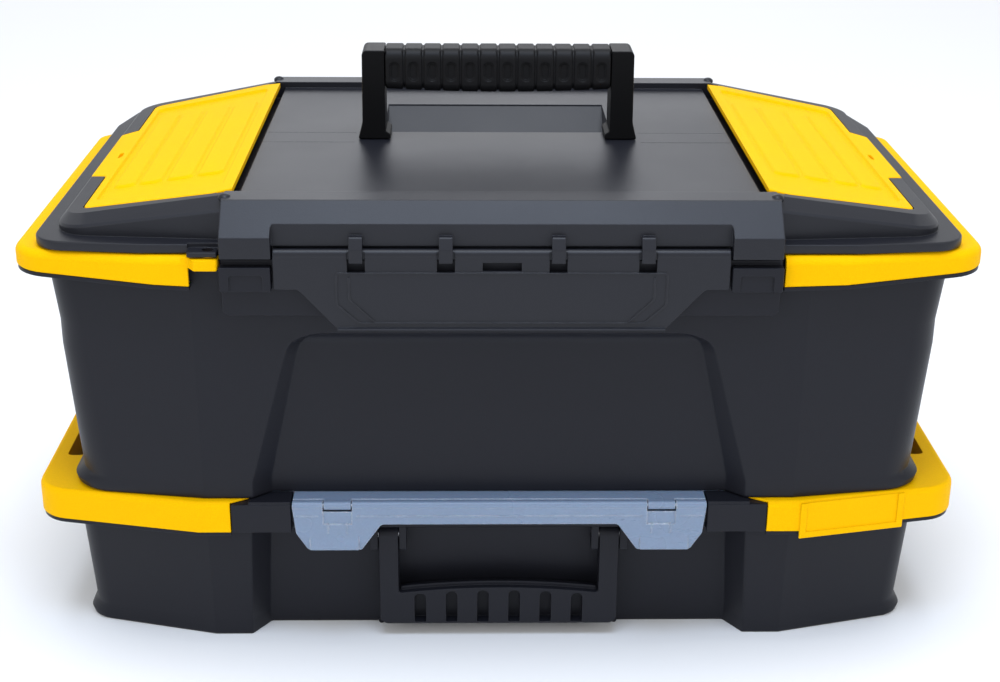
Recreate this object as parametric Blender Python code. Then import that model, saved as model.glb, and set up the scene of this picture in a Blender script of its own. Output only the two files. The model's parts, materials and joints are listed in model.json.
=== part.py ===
"""Two-box stackable tool box: a deep tool box with a hinged lid, latched onto a shallow organizer box.

Metres, +Z up. X is the width, -Y is the front and Z = 0 is the floor under the organizer.
Every piece is its own object. The origin is the middle of the footprint.
"""

import math

import bmesh
import bpy
from mathutils import Matrix, Vector

# Driving dimensions. A half is measured from the middle plane.
GAP = 0.0004
WALL = 0.0024
ARC_STEPS = 4

# Organizer (lower box)
BASE_HALF_X = 0.2375
BASE_HALF_Y = 0.1272
LOWER_TOP_HALF_X = 0.2372
LOWER_TOP_HALF_Y = 0.1335
LOWER_RIM_Z = 0.0885
LOWER_BAND_Z = 0.0735
LOWER_HANDLE_TOP_Z = 0.0922
LOWER_HANDLE_HALF_X = 0.2585
LOWER_HANDLE_FRONT = 0.1418
LOWER_HANDLE_END_X = 0.1478
LOWER_LID_Z = 0.0888
LOWER_LID_TOP_Z = 0.0921
CLEAR_HALF_X = 0.1137
SLOT_IN_X = 0.2394
SLOT_OUT_X = 0.2490
SLOT_HALF_Y = 0.0815

# Tool box (upper box)
UPPER_Z = 0.0925
UPPER_FOOT_HALF_X = 0.2376
UPPER_BASE_HALF_X = 0.2325
UPPER_BASE_HALF_Y = 0.1372
UPPER_TOP_HALF_X = 0.2412
UPPER_TOP_HALF_Y = 0.1392
UPPER_RIM_Z = 0.2355
UPPER_HANDLE_TOP_Z = 0.2362
UPPER_HANDLE_HALF_X = 0.2548
UPPER_HANDLE_FRONT = 0.1482
UPPER_HANDLE_END_X = 0.1608
UPPER_HANDLE_RIGHT_X = 0.1463
UPPER_HANDLE_REAR_Y = 0.0950
RECESS_TOP_Z = 0.1850
RIM_BLOCK_Y = 0.1485
SHOULDER_IN_X = 0.1180
SHOULDER_OUT_X = 0.1435

# Lid
SKIRT_Z = 0.2368
LEDGE_Z = 0.2420
BEAM_Z = 0.2640
PANEL_Z = 0.2600
SHOULDER_Y = 0.1550
LID_FRONT_Y = 0.1490
BEAM_Y = 0.1390
PANEL_HALF_X = 0.1372
PANEL_HALF_Y = 0.1236
ROOF_SLOPE = 0.170
ROOF_START_X = 0.1400
COVER_THICK = 0.0027
COVER_PIVOT_X = 0.1440
COVER_PIVOT_Z = 0.2598

# Hinges and latches
LID_HINGE_Y = 0.1508
LID_HINGE_Z = 0.2388
LID_KNUCKLE_R = 0.0048
LATCH_ROLL_R = 0.0028
LATCH_FRONT_Y = 0.1535
LATCH_BACK_Y = 0.1505
CLIP_XS = (-0.0745, -0.0287, 0.0287, 0.0745)
LOWER_HINGE_Y = 0.1462
LOWER_HINGE_Z = 0.0900
LOWER_KNUCKLE_R = 0.0038
CLEAR_ROLL_Y = 0.1400
CLEAR_ROLL_Z = 0.0898
CLEAR_ROLL_R = 0.0025

# Handles
GRIP_TOP_Z = 0.3130
TOP_HANDLE_FRONT_Y = -0.0063
TOP_HANDLE_REAR_Y = 0.0177
POST_IN_X = 0.0655
POST_OUT_X = 0.0785
FOOT_OUT_X = 0.0813
CARRY_HALF_X = 0.0675
CARRY_FRONT_Y = -0.1305
CARRY_REAR_Y = -0.1195
CARRY_PIVOT_Z = 0.0645
PADLOCK_R = 0.0031

SIDES = (("left", -1), ("right", 1))
AWAY = 0.01


def collection(name):
    made = bpy.data.collections.new(name)
    bpy.context.scene.collection.children.link(made)
    return made


for old in list(bpy.data.objects):
    bpy.data.objects.remove(old, do_unlink=True)
PARTS = collection("stacking_tool_box")
TOOLS = collection("cutters")


def plastic(name, colour, roughness, metallic=0.0, alpha=1.0):
    made = bpy.data.materials.new(name)
    made.use_nodes = True
    shader = made.node_tree.nodes["Principled BSDF"]
    shader.inputs["Base Color"].default_value = (*colour, 1.0)
    shader.inputs["Roughness"].default_value = roughness
    shader.inputs["Metallic"].default_value = metallic
    shader.inputs["Alpha"].default_value = alpha
    return made


CHARCOAL = plastic("charcoal_polypropylene", (0.030, 0.031, 0.036), 0.42)
YELLOW = plastic("yellow_polypropylene", (0.95, 0.60, 0.006), 0.38)
CLEAR = plastic("clear_polypropylene", (0.42, 0.52, 0.68), 0.25, alpha=0.55)
BLACK = plastic("black_grip_rubber", (0.012, 0.012, 0.013), 0.60)
STEEL = plastic("steel_pin", (0.60, 0.60, 0.62), 0.30, metallic=1.0)


# Shape makers. Each gives a hidden helper object, which part() turns into a piece of the tool box.


def helper(mesh):
    """A hidden wire object that cuts or joins a part."""
    obj = bpy.data.objects.new("tool", mesh)
    TOOLS.objects.link(obj)
    obj.hide_render = True
    obj.display_type = "WIRE"
    return obj


def from_bmesh(bm):
    bmesh.ops.recalc_face_normals(bm, faces=bm.faces[:])
    mesh = bpy.data.meshes.new("tool")
    bm.to_mesh(mesh)
    bm.free()
    return helper(mesh)


def part(name, obj, material):
    """The helper becomes a visible piece with its own material."""
    TOOLS.objects.unlink(obj)
    PARTS.objects.link(obj)
    obj.name = name
    obj.data.name = name
    obj.hide_render = False
    obj.display_type = "TEXTURED"
    obj.data.materials.clear()
    obj.data.materials.append(material)
    return obj


def box(low, high):
    """An axis-aligned block between two corners, in any order."""
    low, high = Vector(low), Vector(high)
    size = [abs(b - a) for a, b in zip(low, high)]
    bm = bmesh.new()
    place = Matrix.Translation((low + high) / 2) @ Matrix.Diagonal((*size, 1.0))
    bmesh.ops.create_cube(bm, size=1.0, matrix=place)
    return from_bmesh(bm)


def rod(start, end, radius, sides=12):
    """A round bar from start to end."""
    start, end = Vector(start), Vector(end)
    bm = bmesh.new()
    turn = (end - start).to_track_quat("Z", "Y").to_matrix().to_4x4()
    place = Matrix.Translation((start + end) / 2) @ turn
    bmesh.ops.create_cone(
        bm,
        cap_ends=True,
        segments=sides,
        radius1=radius,
        radius2=radius,
        depth=(end - start).length,
        matrix=place,
    )
    return from_bmesh(bm)


def rounded(corners, steps=ARC_STEPS):
    """The points of a closed outline whose corners are (x, y, radius)."""
    points = []
    for i, (x, y, radius) in enumerate(corners):
        here = Vector((x, y))
        if radius == 0:
            points.append(here)
            continue
        before = (Vector(corners[i - 1][:2]) - here).normalized()
        after = (Vector(corners[(i + 1) % len(corners)][:2]) - here).normalized()
        half = before.angle(after) / 2
        centre = here + (before + after).normalized() * radius / math.sin(half)
        reach = radius / math.tan(half)
        first = here + before * reach - centre
        last = here + after * reach - centre
        angle = math.atan2(first.y, first.x)
        turn = (math.atan2(last.y, last.x) - angle + math.pi) % math.tau - math.pi
        for step in range(steps + 1):
            at = angle + turn * step / steps
            points.append(centre + Vector((math.cos(at), math.sin(at))) * radius)
    return points


def plate(outline, low, high, axis="Z"):
    """A flat outline with thickness. It lies across axis, from low to high along it."""
    columns = {
        "Z": ((1, 0, 0), (0, 1, 0), (0, 0, 1)),
        "Y": ((1, 0, 0), (0, 0, 1), (0, 1, 0)),
        "X": ((0, 1, 0), (0, 0, 1), (1, 0, 0)),
    }[axis]
    turn = Matrix(columns).transposed()
    bm = bmesh.new()
    face = bm.faces.new([bm.verts.new(turn @ Vector((a, b, low))) for a, b in outline])
    more = bmesh.ops.extrude_face_region(bm, geom=[face])["geom"]
    moved = [item for item in more if isinstance(item, bmesh.types.BMVert)]
    bmesh.ops.translate(bm, verts=moved, vec=turn @ Vector((0, 0, high - low)))
    return from_bmesh(bm)


def loft(rings):
    """A closed solid through rings that have the same number of points, capped at both ends."""
    bm = bmesh.new()
    made = [[bm.verts.new(point) for point in ring] for ring in rings]
    count = len(made[0])
    for lower, upper in zip(made, made[1:]):
        for i in range(count):
            j = (i + 1) % count
            bm.faces.new((lower[i], lower[j], upper[j], upper[i]))
    bm.faces.new(reversed(made[0]))
    bm.faces.new(made[-1])
    bm.normal_update()
    bmesh.ops.triangulate(bm, faces=bm.faces[:])
    return from_bmesh(bm)


def ring(points, z):
    """A plan outline at height z, which is a number or a function of x and y."""
    height = z if callable(z) else lambda x, y: z
    return [(x, y, height(x, y)) for x, y in points]


def boolean(target, operation, tools):
    for tool in tools:
        made = target.modifiers.new(operation.lower(), "BOOLEAN")
        made.operation = operation
        made.solver = "EXACT"
        made.object = tool
    return target


def cut(target, *tools):
    return boolean(target, "DIFFERENCE", tools)


def fuse(target, *tools):
    return boolean(target, "UNION", tools)


def flipped(points, side):
    """The outline mirrored to the left when side is -1."""
    return [(side * x, *rest) for x, *rest in points]


def four_way(quadrant):
    """A full outline from its front right quarter, which runs from the middle to the side."""
    right = quadrant + [(x, -y, r) for x, y, r in reversed(quadrant)]
    return right + [(-x, y, r) for x, y, r in reversed(right)]


# Plan outlines

SLANT_START_X = 0.1620
RECESS_BEVEL = 0.0085


def tub_ring(z, half_x, half_y, slant, recess_x, recess, wall=0.0, corner=0.0145):
    """A tub's plan section: slanted corners, and a recess across the front and the rear."""
    quadrant = [
        (recess_x - RECESS_BEVEL + wall / 2, -(half_y - recess - wall), 0),
        (recess_x + wall / 2, -(half_y - wall), 0),
        (SLANT_START_X, -(half_y - wall), 0),
        (half_x - wall, -(half_y - slant - wall), corner - wall),
    ]
    return ring(rounded(four_way(quadrant)), z)


def side_path(end_x, front, half_x, slant, corner):
    """The plan line of a side handle, from its front end round the side to its rear end."""
    turn_x = end_x + 0.0180
    half = [(end_x, -front, 0), (turn_x, -front, 0), (half_x, -(front - slant), corner)]
    whole = half + [(x, -y, r) for x, y, r in reversed(half)]
    return rounded(whole)


def band(outer, inner, section, side):
    """A strip that follows two plan lines. section gives its cut at each pair of points."""
    rings = [section(Vector(a), Vector(b)) for a, b in zip(outer, inner)]
    return loft([flipped(points, side) for points in rings])


# Organizer box


def lower_tub_rings():
    floor = 0.0030
    outside = [
        tub_ring(0.0, BASE_HALF_X, BASE_HALF_Y, 0.0202, 0.1410, 0.0140),
        tub_ring(0.0038, BASE_HALF_X + 0.0010, BASE_HALF_Y, 0.0202, 0.1410, 0.0140),
        tub_ring(0.0072, BASE_HALF_X - 0.0030, BASE_HALF_Y, 0.0190, 0.1410, 0.0140),
        tub_ring(0.0690, LOWER_TOP_HALF_X, LOWER_TOP_HALF_Y, 0.0200, 0.1380, 0.0165),
        tub_ring(0.0715, LOWER_TOP_HALF_X, LOWER_TOP_HALF_Y, 0.0200, 0.1380, 0.0),
        tub_ring(LOWER_RIM_Z, LOWER_TOP_HALF_X, LOWER_TOP_HALF_Y, 0.0200, 0.1380, 0.0),
    ]
    top = (LOWER_TOP_HALF_X, LOWER_TOP_HALF_Y, 0.0200, 0.1380)
    inside = [
        tub_ring(LOWER_RIM_Z, *top, 0.0, WALL),
        tub_ring(0.0715 + WALL, *top, 0.0, WALL),
        tub_ring(0.0690 + WALL, *top, 0.0165, WALL),
        tub_ring(floor, BASE_HALF_X - 0.0030, BASE_HALF_Y, 0.0190, 0.1410, 0.0140, WALL),
    ]
    return outside + inside


LOWER_OUTER = side_path(
    LOWER_HANDLE_END_X, LOWER_HANDLE_FRONT, LOWER_HANDLE_HALF_X, 0.0206, 0.0200
)
LOWER_INNER = side_path(
    LOWER_HANDLE_END_X, LOWER_TOP_HALF_Y + GAP, LOWER_TOP_HALF_X + GAP, 0.0187, 0.0145
)


def lower_flange(side):
    """The tub's thin outward lip under a side handle."""

    def section(out, inn):
        out = out + (inn - out).normalized() * 0.0008
        inn = inn + (inn - out).normalized() * 0.0015
        return [
            (out.x, out.y, 0.0716),
            (out.x, out.y, LOWER_BAND_Z),
            (inn.x, inn.y, LOWER_BAND_Z),
            (inn.x, inn.y, 0.0716),
        ]

    return band(LOWER_OUTER, LOWER_INNER, section, side)


def lower_rim_band(facing):
    """The tub's rim across the front or the rear, set back where the clear lid closes over it."""
    back, face, deep = 0.1325, 0.1414, 0.1385
    ends = [(0.1145, LOWER_HANDLE_END_X - GAP), (-LOWER_HANDLE_END_X + GAP, -0.1145)]
    blocks = [box((a, facing * back, 0.0735), (b, facing * face, 0.0905)) for a, b in ends]
    blocks.append(box((-0.1300, facing * back, 0.0785), (0.1300, facing * deep, 0.0865)))
    return blocks


def carry_ears():
    """Two ears on each side of the recess, which hold the carry handle's pivots."""
    ears = []
    for _, side in SIDES:
        for low, high in ((0.0520, 0.0561), (0.0679, 0.0724)):
            outline = [(-0.1090, 0.0780), (-0.1090, 0.0560), (-0.1290, 0.0560), (-0.1290, 0.0780)]
            ears.append(plate(outline, side * low, side * high, "X"))
    return ears


def lower_knuckles(ranges, arm=None):
    """Barrels of the organizer's rear hinge, with arms where they belong to the tub."""
    made = []
    for _, side in SIDES:
        for low, high in ranges:
            ends = [(side * x, LOWER_HINGE_Y, LOWER_HINGE_Z) for x in (low, high)]
            made.append(rod(*ends, LOWER_KNUCKLE_R))
            if arm:
                made.append(box((side * low, *arm[0]), (side * high, *arm[1])))
    return made


def lower_hinge_bores(radius=0.0019):
    bores = []
    for _, side in SIDES:
        ends = [(side * x, LOWER_HINGE_Y, LOWER_HINGE_Z) for x in (0.0450, 0.0990)]
        bores.append(rod(*ends, radius))
    return bores


TUB_KNUCKLES_X = ((0.0510, 0.0595), (0.0845, 0.0930))
LID_KNUCKLES_X = ((0.0600, 0.0840),)


def make_lower_tub():
    tub = part("lower_tub", loft(lower_tub_rings()), CHARCOAL)
    fuse(tub, *lower_rim_band(-1), *lower_rim_band(1), *carry_ears())
    fuse(tub, *(lower_flange(side) for _, side in SIDES))
    fuse(tub, *lower_knuckles(TUB_KNUCKLES_X, ((0.1370, 0.0800), (0.1462, 0.0900))))
    for _, side in SIDES:
        low = (side * SLOT_IN_X, -SLOT_HALF_Y, 0.0700)
        cut(tub, box(low, (side * SLOT_OUT_X, SLOT_HALF_Y, 0.0750)))
        pivot = [(side * x, (CARRY_FRONT_Y + CARRY_REAR_Y) / 2, CARRY_PIVOT_Z) for x in (0.05, 0.08)]
        cut(tub, rod(*pivot, 0.0027))
    cut(tub, *lower_hinge_bores())


def label_outline():
    """The plan of the raised label plate, on the slanted front of the right side handle."""
    low_x, high_x = LOWER_HANDLE_END_X + 0.0180, 0.2265
    rise = 0.0206 / (LOWER_HANDLE_HALF_X - low_x) * (high_x - low_x)
    near = LOWER_HANDLE_FRONT + 0.0008
    far = LOWER_HANDLE_FRONT - 0.0004
    return [(low_x, -near), (high_x, rise - near), (high_x, rise - far), (low_x, -far)]


def make_lower_side_handle(name, side):
    """A yellow side handle: a top plate and an outer skirt, with a finger slot through the top."""

    def section(out, inn):
        inward = (inn - out).normalized()
        edge = out + inward * 0.0018
        wall = out + inward * WALL
        return [
            (out.x, out.y, LOWER_BAND_Z + GAP),
            (out.x, out.y, LOWER_HANDLE_TOP_Z - 0.0022),
            (edge.x, edge.y, LOWER_HANDLE_TOP_Z),
            (inn.x, inn.y, LOWER_HANDLE_TOP_Z),
            (inn.x, inn.y, LOWER_HANDLE_TOP_Z - WALL),
            (wall.x, wall.y, LOWER_HANDLE_TOP_Z - WALL),
            (wall.x, wall.y, LOWER_BAND_Z + GAP),
        ]

    handle = part(name, band(LOWER_OUTER, LOWER_INNER, section, side), YELLOW)
    if side > 0:
        fuse(handle, plate(label_outline(), 0.0698, 0.0906))
    bar_low = (side * (SLOT_OUT_X - 0.001), -SLOT_HALF_Y - 0.004, LOWER_BAND_Z + GAP)
    bar_high = (side * (SLOT_OUT_X + 0.0018), SLOT_HALF_Y + 0.004, LOWER_HANDLE_TOP_Z - 0.001)
    fuse(handle, box(bar_low, bar_high))
    slot_low = (side * SLOT_IN_X, -SLOT_HALF_Y, 0.0700)
    cut(handle, box(slot_low, (side * SLOT_OUT_X, SLOT_HALF_Y, 0.1000)))


def make_lower_lid():
    """The organizer's clear lid, with a tongue at the front for the latch's hinge."""
    edge_x, edge_y = LOWER_TOP_HALF_X - 0.0012, LOWER_TOP_HALF_Y - 0.0014
    quadrant = [
        (CLEAR_HALF_X, -(CLEAR_ROLL_Y - CLEAR_ROLL_R - GAP), 0),
        (CLEAR_HALF_X, -edge_y, 0),
        (SLANT_START_X, -edge_y, 0),
        (edge_x, -(edge_y - 0.0195), 0.0140),
    ]
    rear = [(x, -max(y, -edge_y), r) for x, y, r in quadrant]
    right = quadrant + list(reversed(rear[1:]))
    outline = rounded(right + [(-x, y, r) for x, y, r in reversed(right)])
    lid = part("lower_lid", plate(outline, LOWER_LID_Z, LOWER_LID_TOP_Z), CLEAR)
    for _, side in SIDES:
        low = (side * 0.0600, 0.1300, LOWER_LID_Z)
        fuse(lid, box(low, (side * 0.0840, LOWER_HINGE_Y, LOWER_LID_TOP_Z)))
        eye = [(side * x, -CLEAR_ROLL_Y, CLEAR_ROLL_Z) for x in (0.0815, 0.0965)]
        fuse(lid, rod(*eye, CLEAR_ROLL_R))
        low = (side * 0.0815, -CLEAR_ROLL_Y, CLEAR_ROLL_Z)
        fuse(lid, box(low, (side * 0.0965, -0.1370, LOWER_LID_TOP_Z)))
    fuse(lid, *lower_knuckles(LID_KNUCKLES_X))
    cut(lid, *lower_hinge_bores())
    pin = [(x, -CLEAR_ROLL_Y, CLEAR_ROLL_Z) for x in (-0.12, 0.12)]
    cut(lid, rod(*pin, 0.0013))


def make_lower_latch():
    """The clear front latch: two ears and an arch over the carry handle, hung from a roll."""
    half = [
        (0.0, 0.0790, 0),
        (0.0650, 0.0790, 0.002),
        (0.0760, 0.0633, 0.002),
        (0.1055, 0.0633, 0.002),
        (0.1120, 0.0725, 0.002),
        (CLEAR_HALF_X, 0.0890, 0),
    ]
    outline = rounded(half[1:] + [(-x, z, r) for x, z, r in reversed(half[1:])], 2)
    latch = part("lower_latch", plate(outline, -0.1425, -0.1403, "Y"), CLEAR)
    ends = [(x, -CLEAR_ROLL_Y, CLEAR_ROLL_Z) for x in (-CLEAR_HALF_X, CLEAR_HALF_X)]
    fuse(latch, rod(*ends, CLEAR_ROLL_R))
    for _, side in SIDES:
        low = (side * 0.0810, -0.1440, 0.0866)
        cut(latch, box(low, (side * 0.0970, -0.1360, 0.0940)))
    pin = [(x, -CLEAR_ROLL_Y, CLEAR_ROLL_Z) for x in (-0.12, 0.12)]
    cut(latch, rod(*pin, 0.0013))
    pin = [(x, -CLEAR_ROLL_Y, CLEAR_ROLL_Z) for x in (-0.1120, 0.1120)]
    part("lower_latch_pin", rod(*pin, 0.0010, 8), STEEL)


def make_carry_handle():
    """The folding carry handle that hangs in the organizer's front recess."""
    bow = [(x, 0.0322 - 0.0034 * (x / 0.0560) ** 2, 0) for x in (-0.056, -0.028, 0, 0.028, 0.056)]
    outline = rounded(
        [
            (-CARRY_HALF_X, 0.0085, 0.004),
            (CARRY_HALF_X, 0.0085, 0.004),
            (CARRY_HALF_X, CARRY_PIVOT_Z, 0),
            (0.0565, CARRY_PIVOT_Z, 0),
            *reversed(bow),
            (-0.0565, CARRY_PIVOT_Z, 0),
            (-CARRY_HALF_X, CARRY_PIVOT_Z, 0),
        ],
        3,
    )
    handle = plate(outline, CARRY_FRONT_Y, CARRY_REAR_Y, "Y")
    handle = part("carry_handle", handle, CHARCOAL)
    middle = (CARRY_FRONT_Y + CARRY_REAR_Y) / 2
    radius = (CARRY_REAR_Y - CARRY_FRONT_Y) / 2
    for _, side in SIDES:
        ends = [(side * x, middle, CARRY_PIVOT_Z) for x in (0.0565, CARRY_HALF_X)]
        fuse(handle, rod(*ends, radius, 16))
        bore = [(side * x, middle, CARRY_PIVOT_Z) for x in (0.05, 0.08)]
        cut(handle, rod(*bore, 0.0027))
    for i in range(6):
        x = (i - 2.5) * 0.0178
        slot = rounded(
            [
                (x - 0.0031, 0.0102, 0.001),
                (x + 0.0031, 0.0102, 0.001),
                (x + 0.0031, 0.0292, 0.003),
                (x - 0.0031, 0.0292, 0.003),
            ],
            2,
        )
        cut(handle, plate(slot, CARRY_FRONT_Y - 0.001, CARRY_FRONT_Y + 0.0065, "Y"))


def make_carry_pins():
    middle = (CARRY_FRONT_Y + CARRY_REAR_Y) / 2
    for word, side in SIDES:
        ends = [(side * x, middle, CARRY_PIVOT_Z) for x in (0.0522, 0.0722)]
        part(f"carry_handle_pin_{word}", rod(*ends, 0.0024), STEEL)


def make_lower_hinge_pins():
    for word, side in SIDES:
        ends = [(side * x, LOWER_HINGE_Y, LOWER_HINGE_Z) for x in (0.0512, 0.0928)]
        part(f"lower_hinge_pin_{word}", rod(*ends, 0.0016), STEEL)


def make_dividers():
    """Loose dividers that part the organizer into bins."""
    low, high, half = 0.0034, 0.0860, 0.0008
    row_y, end_x, wall_y = 0.0400, 0.2300, 0.1090
    for word, side in (("front", -1), ("rear", 1)):
        long_low = (-end_x, side * row_y - half, low)
        divider = box(long_low, (end_x, side * row_y + half, high))
        part(f"long_divider_{word}", divider, CLEAR)
    rows = (
        ("front", -wall_y, -row_y - half - GAP, 0.0750),
        ("middle", -row_y + half + GAP, row_y - half - GAP, 0.0950),
        ("rear", row_y + half + GAP, wall_y, 0.0750),
    )
    for row, near, far, x in rows:
        for word, side in SIDES:
            cross_low = (side * x - half, near, low)
            divider = box(cross_low, (side * x + half, far, high))
            part(f"cross_divider_{row}_{word}", divider, CLEAR)


# Tool box


def upper_tub_rings():
    low = (UPPER_BASE_HALF_Y, 0.0115, 0.1355)
    top = (UPPER_TOP_HALF_X, UPPER_TOP_HALF_Y, 0.0125, 0.1130)
    below = (0.2372, 0.1386, 0.0125, 0.1130)
    outside = [
        tub_ring(UPPER_Z, UPPER_FOOT_HALF_X - 0.0015, *low, 0.0085),
        tub_ring(UPPER_Z + 0.0045, UPPER_FOOT_HALF_X, *low, 0.0085),
        tub_ring(UPPER_Z + 0.0080, UPPER_BASE_HALF_X, *low, 0.0085),
        tub_ring(RECESS_TOP_Z, *below, 0.0065),
        tub_ring(RECESS_TOP_Z + 0.0050, *below, 0.0),
        tub_ring(UPPER_RIM_Z, *top, 0.0),
    ]
    inside = [
        tub_ring(UPPER_RIM_Z, *top, 0.0, WALL),
        tub_ring(RECESS_TOP_Z + 0.0050 + WALL, *below, 0.0, WALL),
        tub_ring(RECESS_TOP_Z + WALL, *below, 0.0065, WALL),
        tub_ring(UPPER_Z + 0.0030, UPPER_BASE_HALF_X, *low, 0.0085, WALL),
    ]
    return outside + inside


def rim_path(end_x, front, half_x, slant, corner, turn):
    """The plan line of an upper side handle, from its front end to its blunt rear end."""
    corners = [
        (end_x, -front, 0),
        (UPPER_HANDLE_END_X + 0.0180, -front, 0),
        (half_x, -(front - slant), corner),
        (half_x, UPPER_HANDLE_REAR_Y - 0.0060, 0),
        (half_x - turn, UPPER_HANDLE_REAR_Y, 0),
    ]
    return rounded(corners)


def rim_paths(side):
    """The outer and the inner plan line. The left handle stops short to clear the padlock eye."""
    end_x = UPPER_HANDLE_END_X if side < 0 else UPPER_HANDLE_RIGHT_X
    outer = rim_path(end_x, UPPER_HANDLE_FRONT, UPPER_HANDLE_HALF_X, 0.0120, 0.0200, 0.0050)
    inner = rim_path(end_x, UPPER_TOP_HALF_Y + GAP, UPPER_TOP_HALF_X + GAP, 0.0120, 0.0145, 0.0)
    return outer, inner


def upper_band_z(x):
    """The underside of an upper side handle, which rises from its ends towards the side."""
    share = (abs(x) - UPPER_HANDLE_END_X) / (UPPER_HANDLE_HALF_X - UPPER_HANDLE_END_X)
    return 0.2197 + 0.0053 * min(max(share, 0.0), 1.0)


def upper_flange(side):

    def section(out, inn):
        low = upper_band_z(out.x)
        out = out + (inn - out).normalized() * 0.0006
        inn = inn + (inn - out).normalized() * 0.0015
        return [
            (out.x, out.y, low - 0.0020),
            (out.x, out.y, low),
            (inn.x, inn.y, low),
            (inn.x, inn.y, low - 0.0020),
        ]

    return band(*rim_paths(side), section, side)


def strike_boxes():
    """Shoulder boxes beside the front latch, each with a window open at its foot."""
    blocks, windows = [], []
    for _, side in SIDES:
        far = side * (SHOULDER_OUT_X + 0.0010)
        blocks.append(box((side * SHOULDER_IN_X, -0.1540, 0.2190), (far, -0.1380, 0.2325)))
        low = (side * 0.1225, -0.1560, 0.2180)
        windows.append(box(low, (side * 0.1393, -0.1510, 0.2274)))
    return blocks, windows


def lid_hinge_rods(ranges, radius):
    made = []
    for _, side in SIDES:
        for low, high in ranges:
            ends = [(side * x, LID_HINGE_Y, LID_HINGE_Z) for x in (low, high)]
            made.append(rod(*ends, radius))
    return made


UPPER_TUB_KNUCKLES_X = ((0.0540, 0.0625), (0.0875, 0.0960))
UPPER_LID_KNUCKLES_X = ((0.0630, 0.0870),)


def make_upper_tub():
    tub = part("upper_tub", loft(upper_tub_rings()), CHARCOAL)
    fuse(tub, *(upper_flange(side) for _, side in SIDES))
    for facing in (-1, 1):
        low = (-SHOULDER_OUT_X - 0.0010, facing * 0.1375, 0.2005)
        fuse(tub, box(low, (SHOULDER_OUT_X + 0.0010, facing * RIM_BLOCK_Y, 0.2352)))
    blocks, windows = strike_boxes()
    fuse(tub, *blocks)
    cut(tub, *windows)
    for _, side in SIDES:
        low = (side * 0.0620, 0.1400, 0.2335)
        cut(tub, box(low, (side * 0.0880, 0.1500, 0.2400)))
        for near, far in UPPER_TUB_KNUCKLES_X:
            low = (side * near, 0.1452, 0.2300)
            fuse(tub, box(low, (side * far, LID_HINGE_Y, LID_HINGE_Z)))
        shelf = (side * 0.2215, -0.0500, 0.1640)
        fuse(tub, box(shelf, (side * 0.2355, 0.0500, 0.1745)))
    fuse(tub, *lid_hinge_rods(UPPER_TUB_KNUCKLES_X, LID_KNUCKLE_R))
    cut(tub, *lid_hinge_rods(((0.0500, 0.1000),), 0.0022))


def make_upper_side_handle(name, side):
    """A yellow side handle that caps the tool box's rim. The left one carries the lower padlock eye."""

    def section(out, inn):
        low = upper_band_z(out.x) + GAP
        inward = (inn - out).normalized()
        edge = out + inward * 0.0030
        wall = out + inward * WALL
        return [
            (out.x, out.y, low),
            (out.x, out.y, UPPER_HANDLE_TOP_Z - 0.0030),
            (edge.x, edge.y, UPPER_HANDLE_TOP_Z),
            (inn.x, inn.y, UPPER_HANDLE_TOP_Z),
            (inn.x, inn.y, UPPER_HANDLE_TOP_Z - WALL),
            (wall.x, wall.y, UPPER_HANDLE_TOP_Z - WALL - 0.0025),
            (wall.x, wall.y, low),
        ]

    handle = part(name, band(*rim_paths(side), section, side), YELLOW)
    if side < 0:
        low = (-UPPER_HANDLE_END_X - 0.0050, -0.1530, 0.2298)
        fuse(handle, box(low, (-0.1450, -0.1402, UPPER_HANDLE_TOP_Z - 0.0002)))
        cut(handle, rod(*padlock_axis(0.2250, 0.2400), PADLOCK_R, 16))


def padlock_axis(low, high):
    return (-0.1502, -0.1458, low), (-0.1502, -0.1458, high)


# Lid


def roof_z(x, y=0.0):
    """The lid's side slope, which starts level with the middle and falls towards each side."""
    return BEAM_Z - ROOF_SLOPE * (abs(x) - ROOF_START_X)


def wall_z(x, y=0.0):
    """The top edge of the mound's upright wall."""
    return 0.2567 - 0.14 * (abs(x) - 0.1520)


def lowered(height, drop):
    return lambda x, y: height(x, y) - drop


def skirt_outline(inset=0.0):
    right = [
        (0.1850, -(0.1446 - inset), 0),
        (0.2425 - inset, -(0.1390 - inset), 0.0180 - inset),
        (0.2425 - inset, 0.0950, 0.0100),
        (0.2345 - inset, 0.1360 - inset, 0.0120 - inset),
        (0.1850, 0.1446 - inset, 0),
    ]
    return rounded(right + [(-x, y, r) for x, y, r in reversed(right)])


def d_outline(side, start_x, near_y, far_x, far_y, corner):
    """A plan outline with a straight inner side and two round outer corners."""
    half = [(start_x, -near_y, 0), (far_x, -far_y, corner)]
    return rounded(flipped(half + [(x, -y, r) for x, y, r in reversed(half)], side))


def mound(side):
    """The raised part of the lid under a compartment cover."""
    foot = d_outline(side, 0.1400, 0.1370, 0.2325, 0.1290, 0.0140)
    top = d_outline(side, 0.1400, 0.1290, 0.2290, 0.1150, 0.0060)
    return loft([ring(foot, 0.2400), ring(foot, wall_z), ring(top, roof_z)])


def mound_hollow(side):
    foot = d_outline(side, 0.1500, 0.1343, 0.2300, 0.1265, 0.0120)
    top = d_outline(side, 0.1500, 0.1265, 0.2265, 0.1125, 0.0050)
    rings = [ring(foot, 0.2350), ring(foot, lowered(wall_z, 0.0030))]
    return loft(rings + [ring(top, lowered(roof_z, 0.0060))])


def cover_outline(side, grow=0.0, inner_x=0.1400):
    """A compartment cover's plan: a tapered panel with a finger tab on its outer edge."""
    half = [
        (inner_x, -(0.1195 + grow), 0),
        (0.1500, -(0.1222 + grow), 0.002),
        (0.2205 + grow, -(0.1105 + grow), 0.004),
        (0.2205 + grow, -(0.0500 + grow), 0),
        (0.2300 + grow, -(0.0445 + grow), 0.002),
    ]
    return rounded(flipped(half + [(x, -y, r) for x, y, r in reversed(half)], side), 2)


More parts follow.
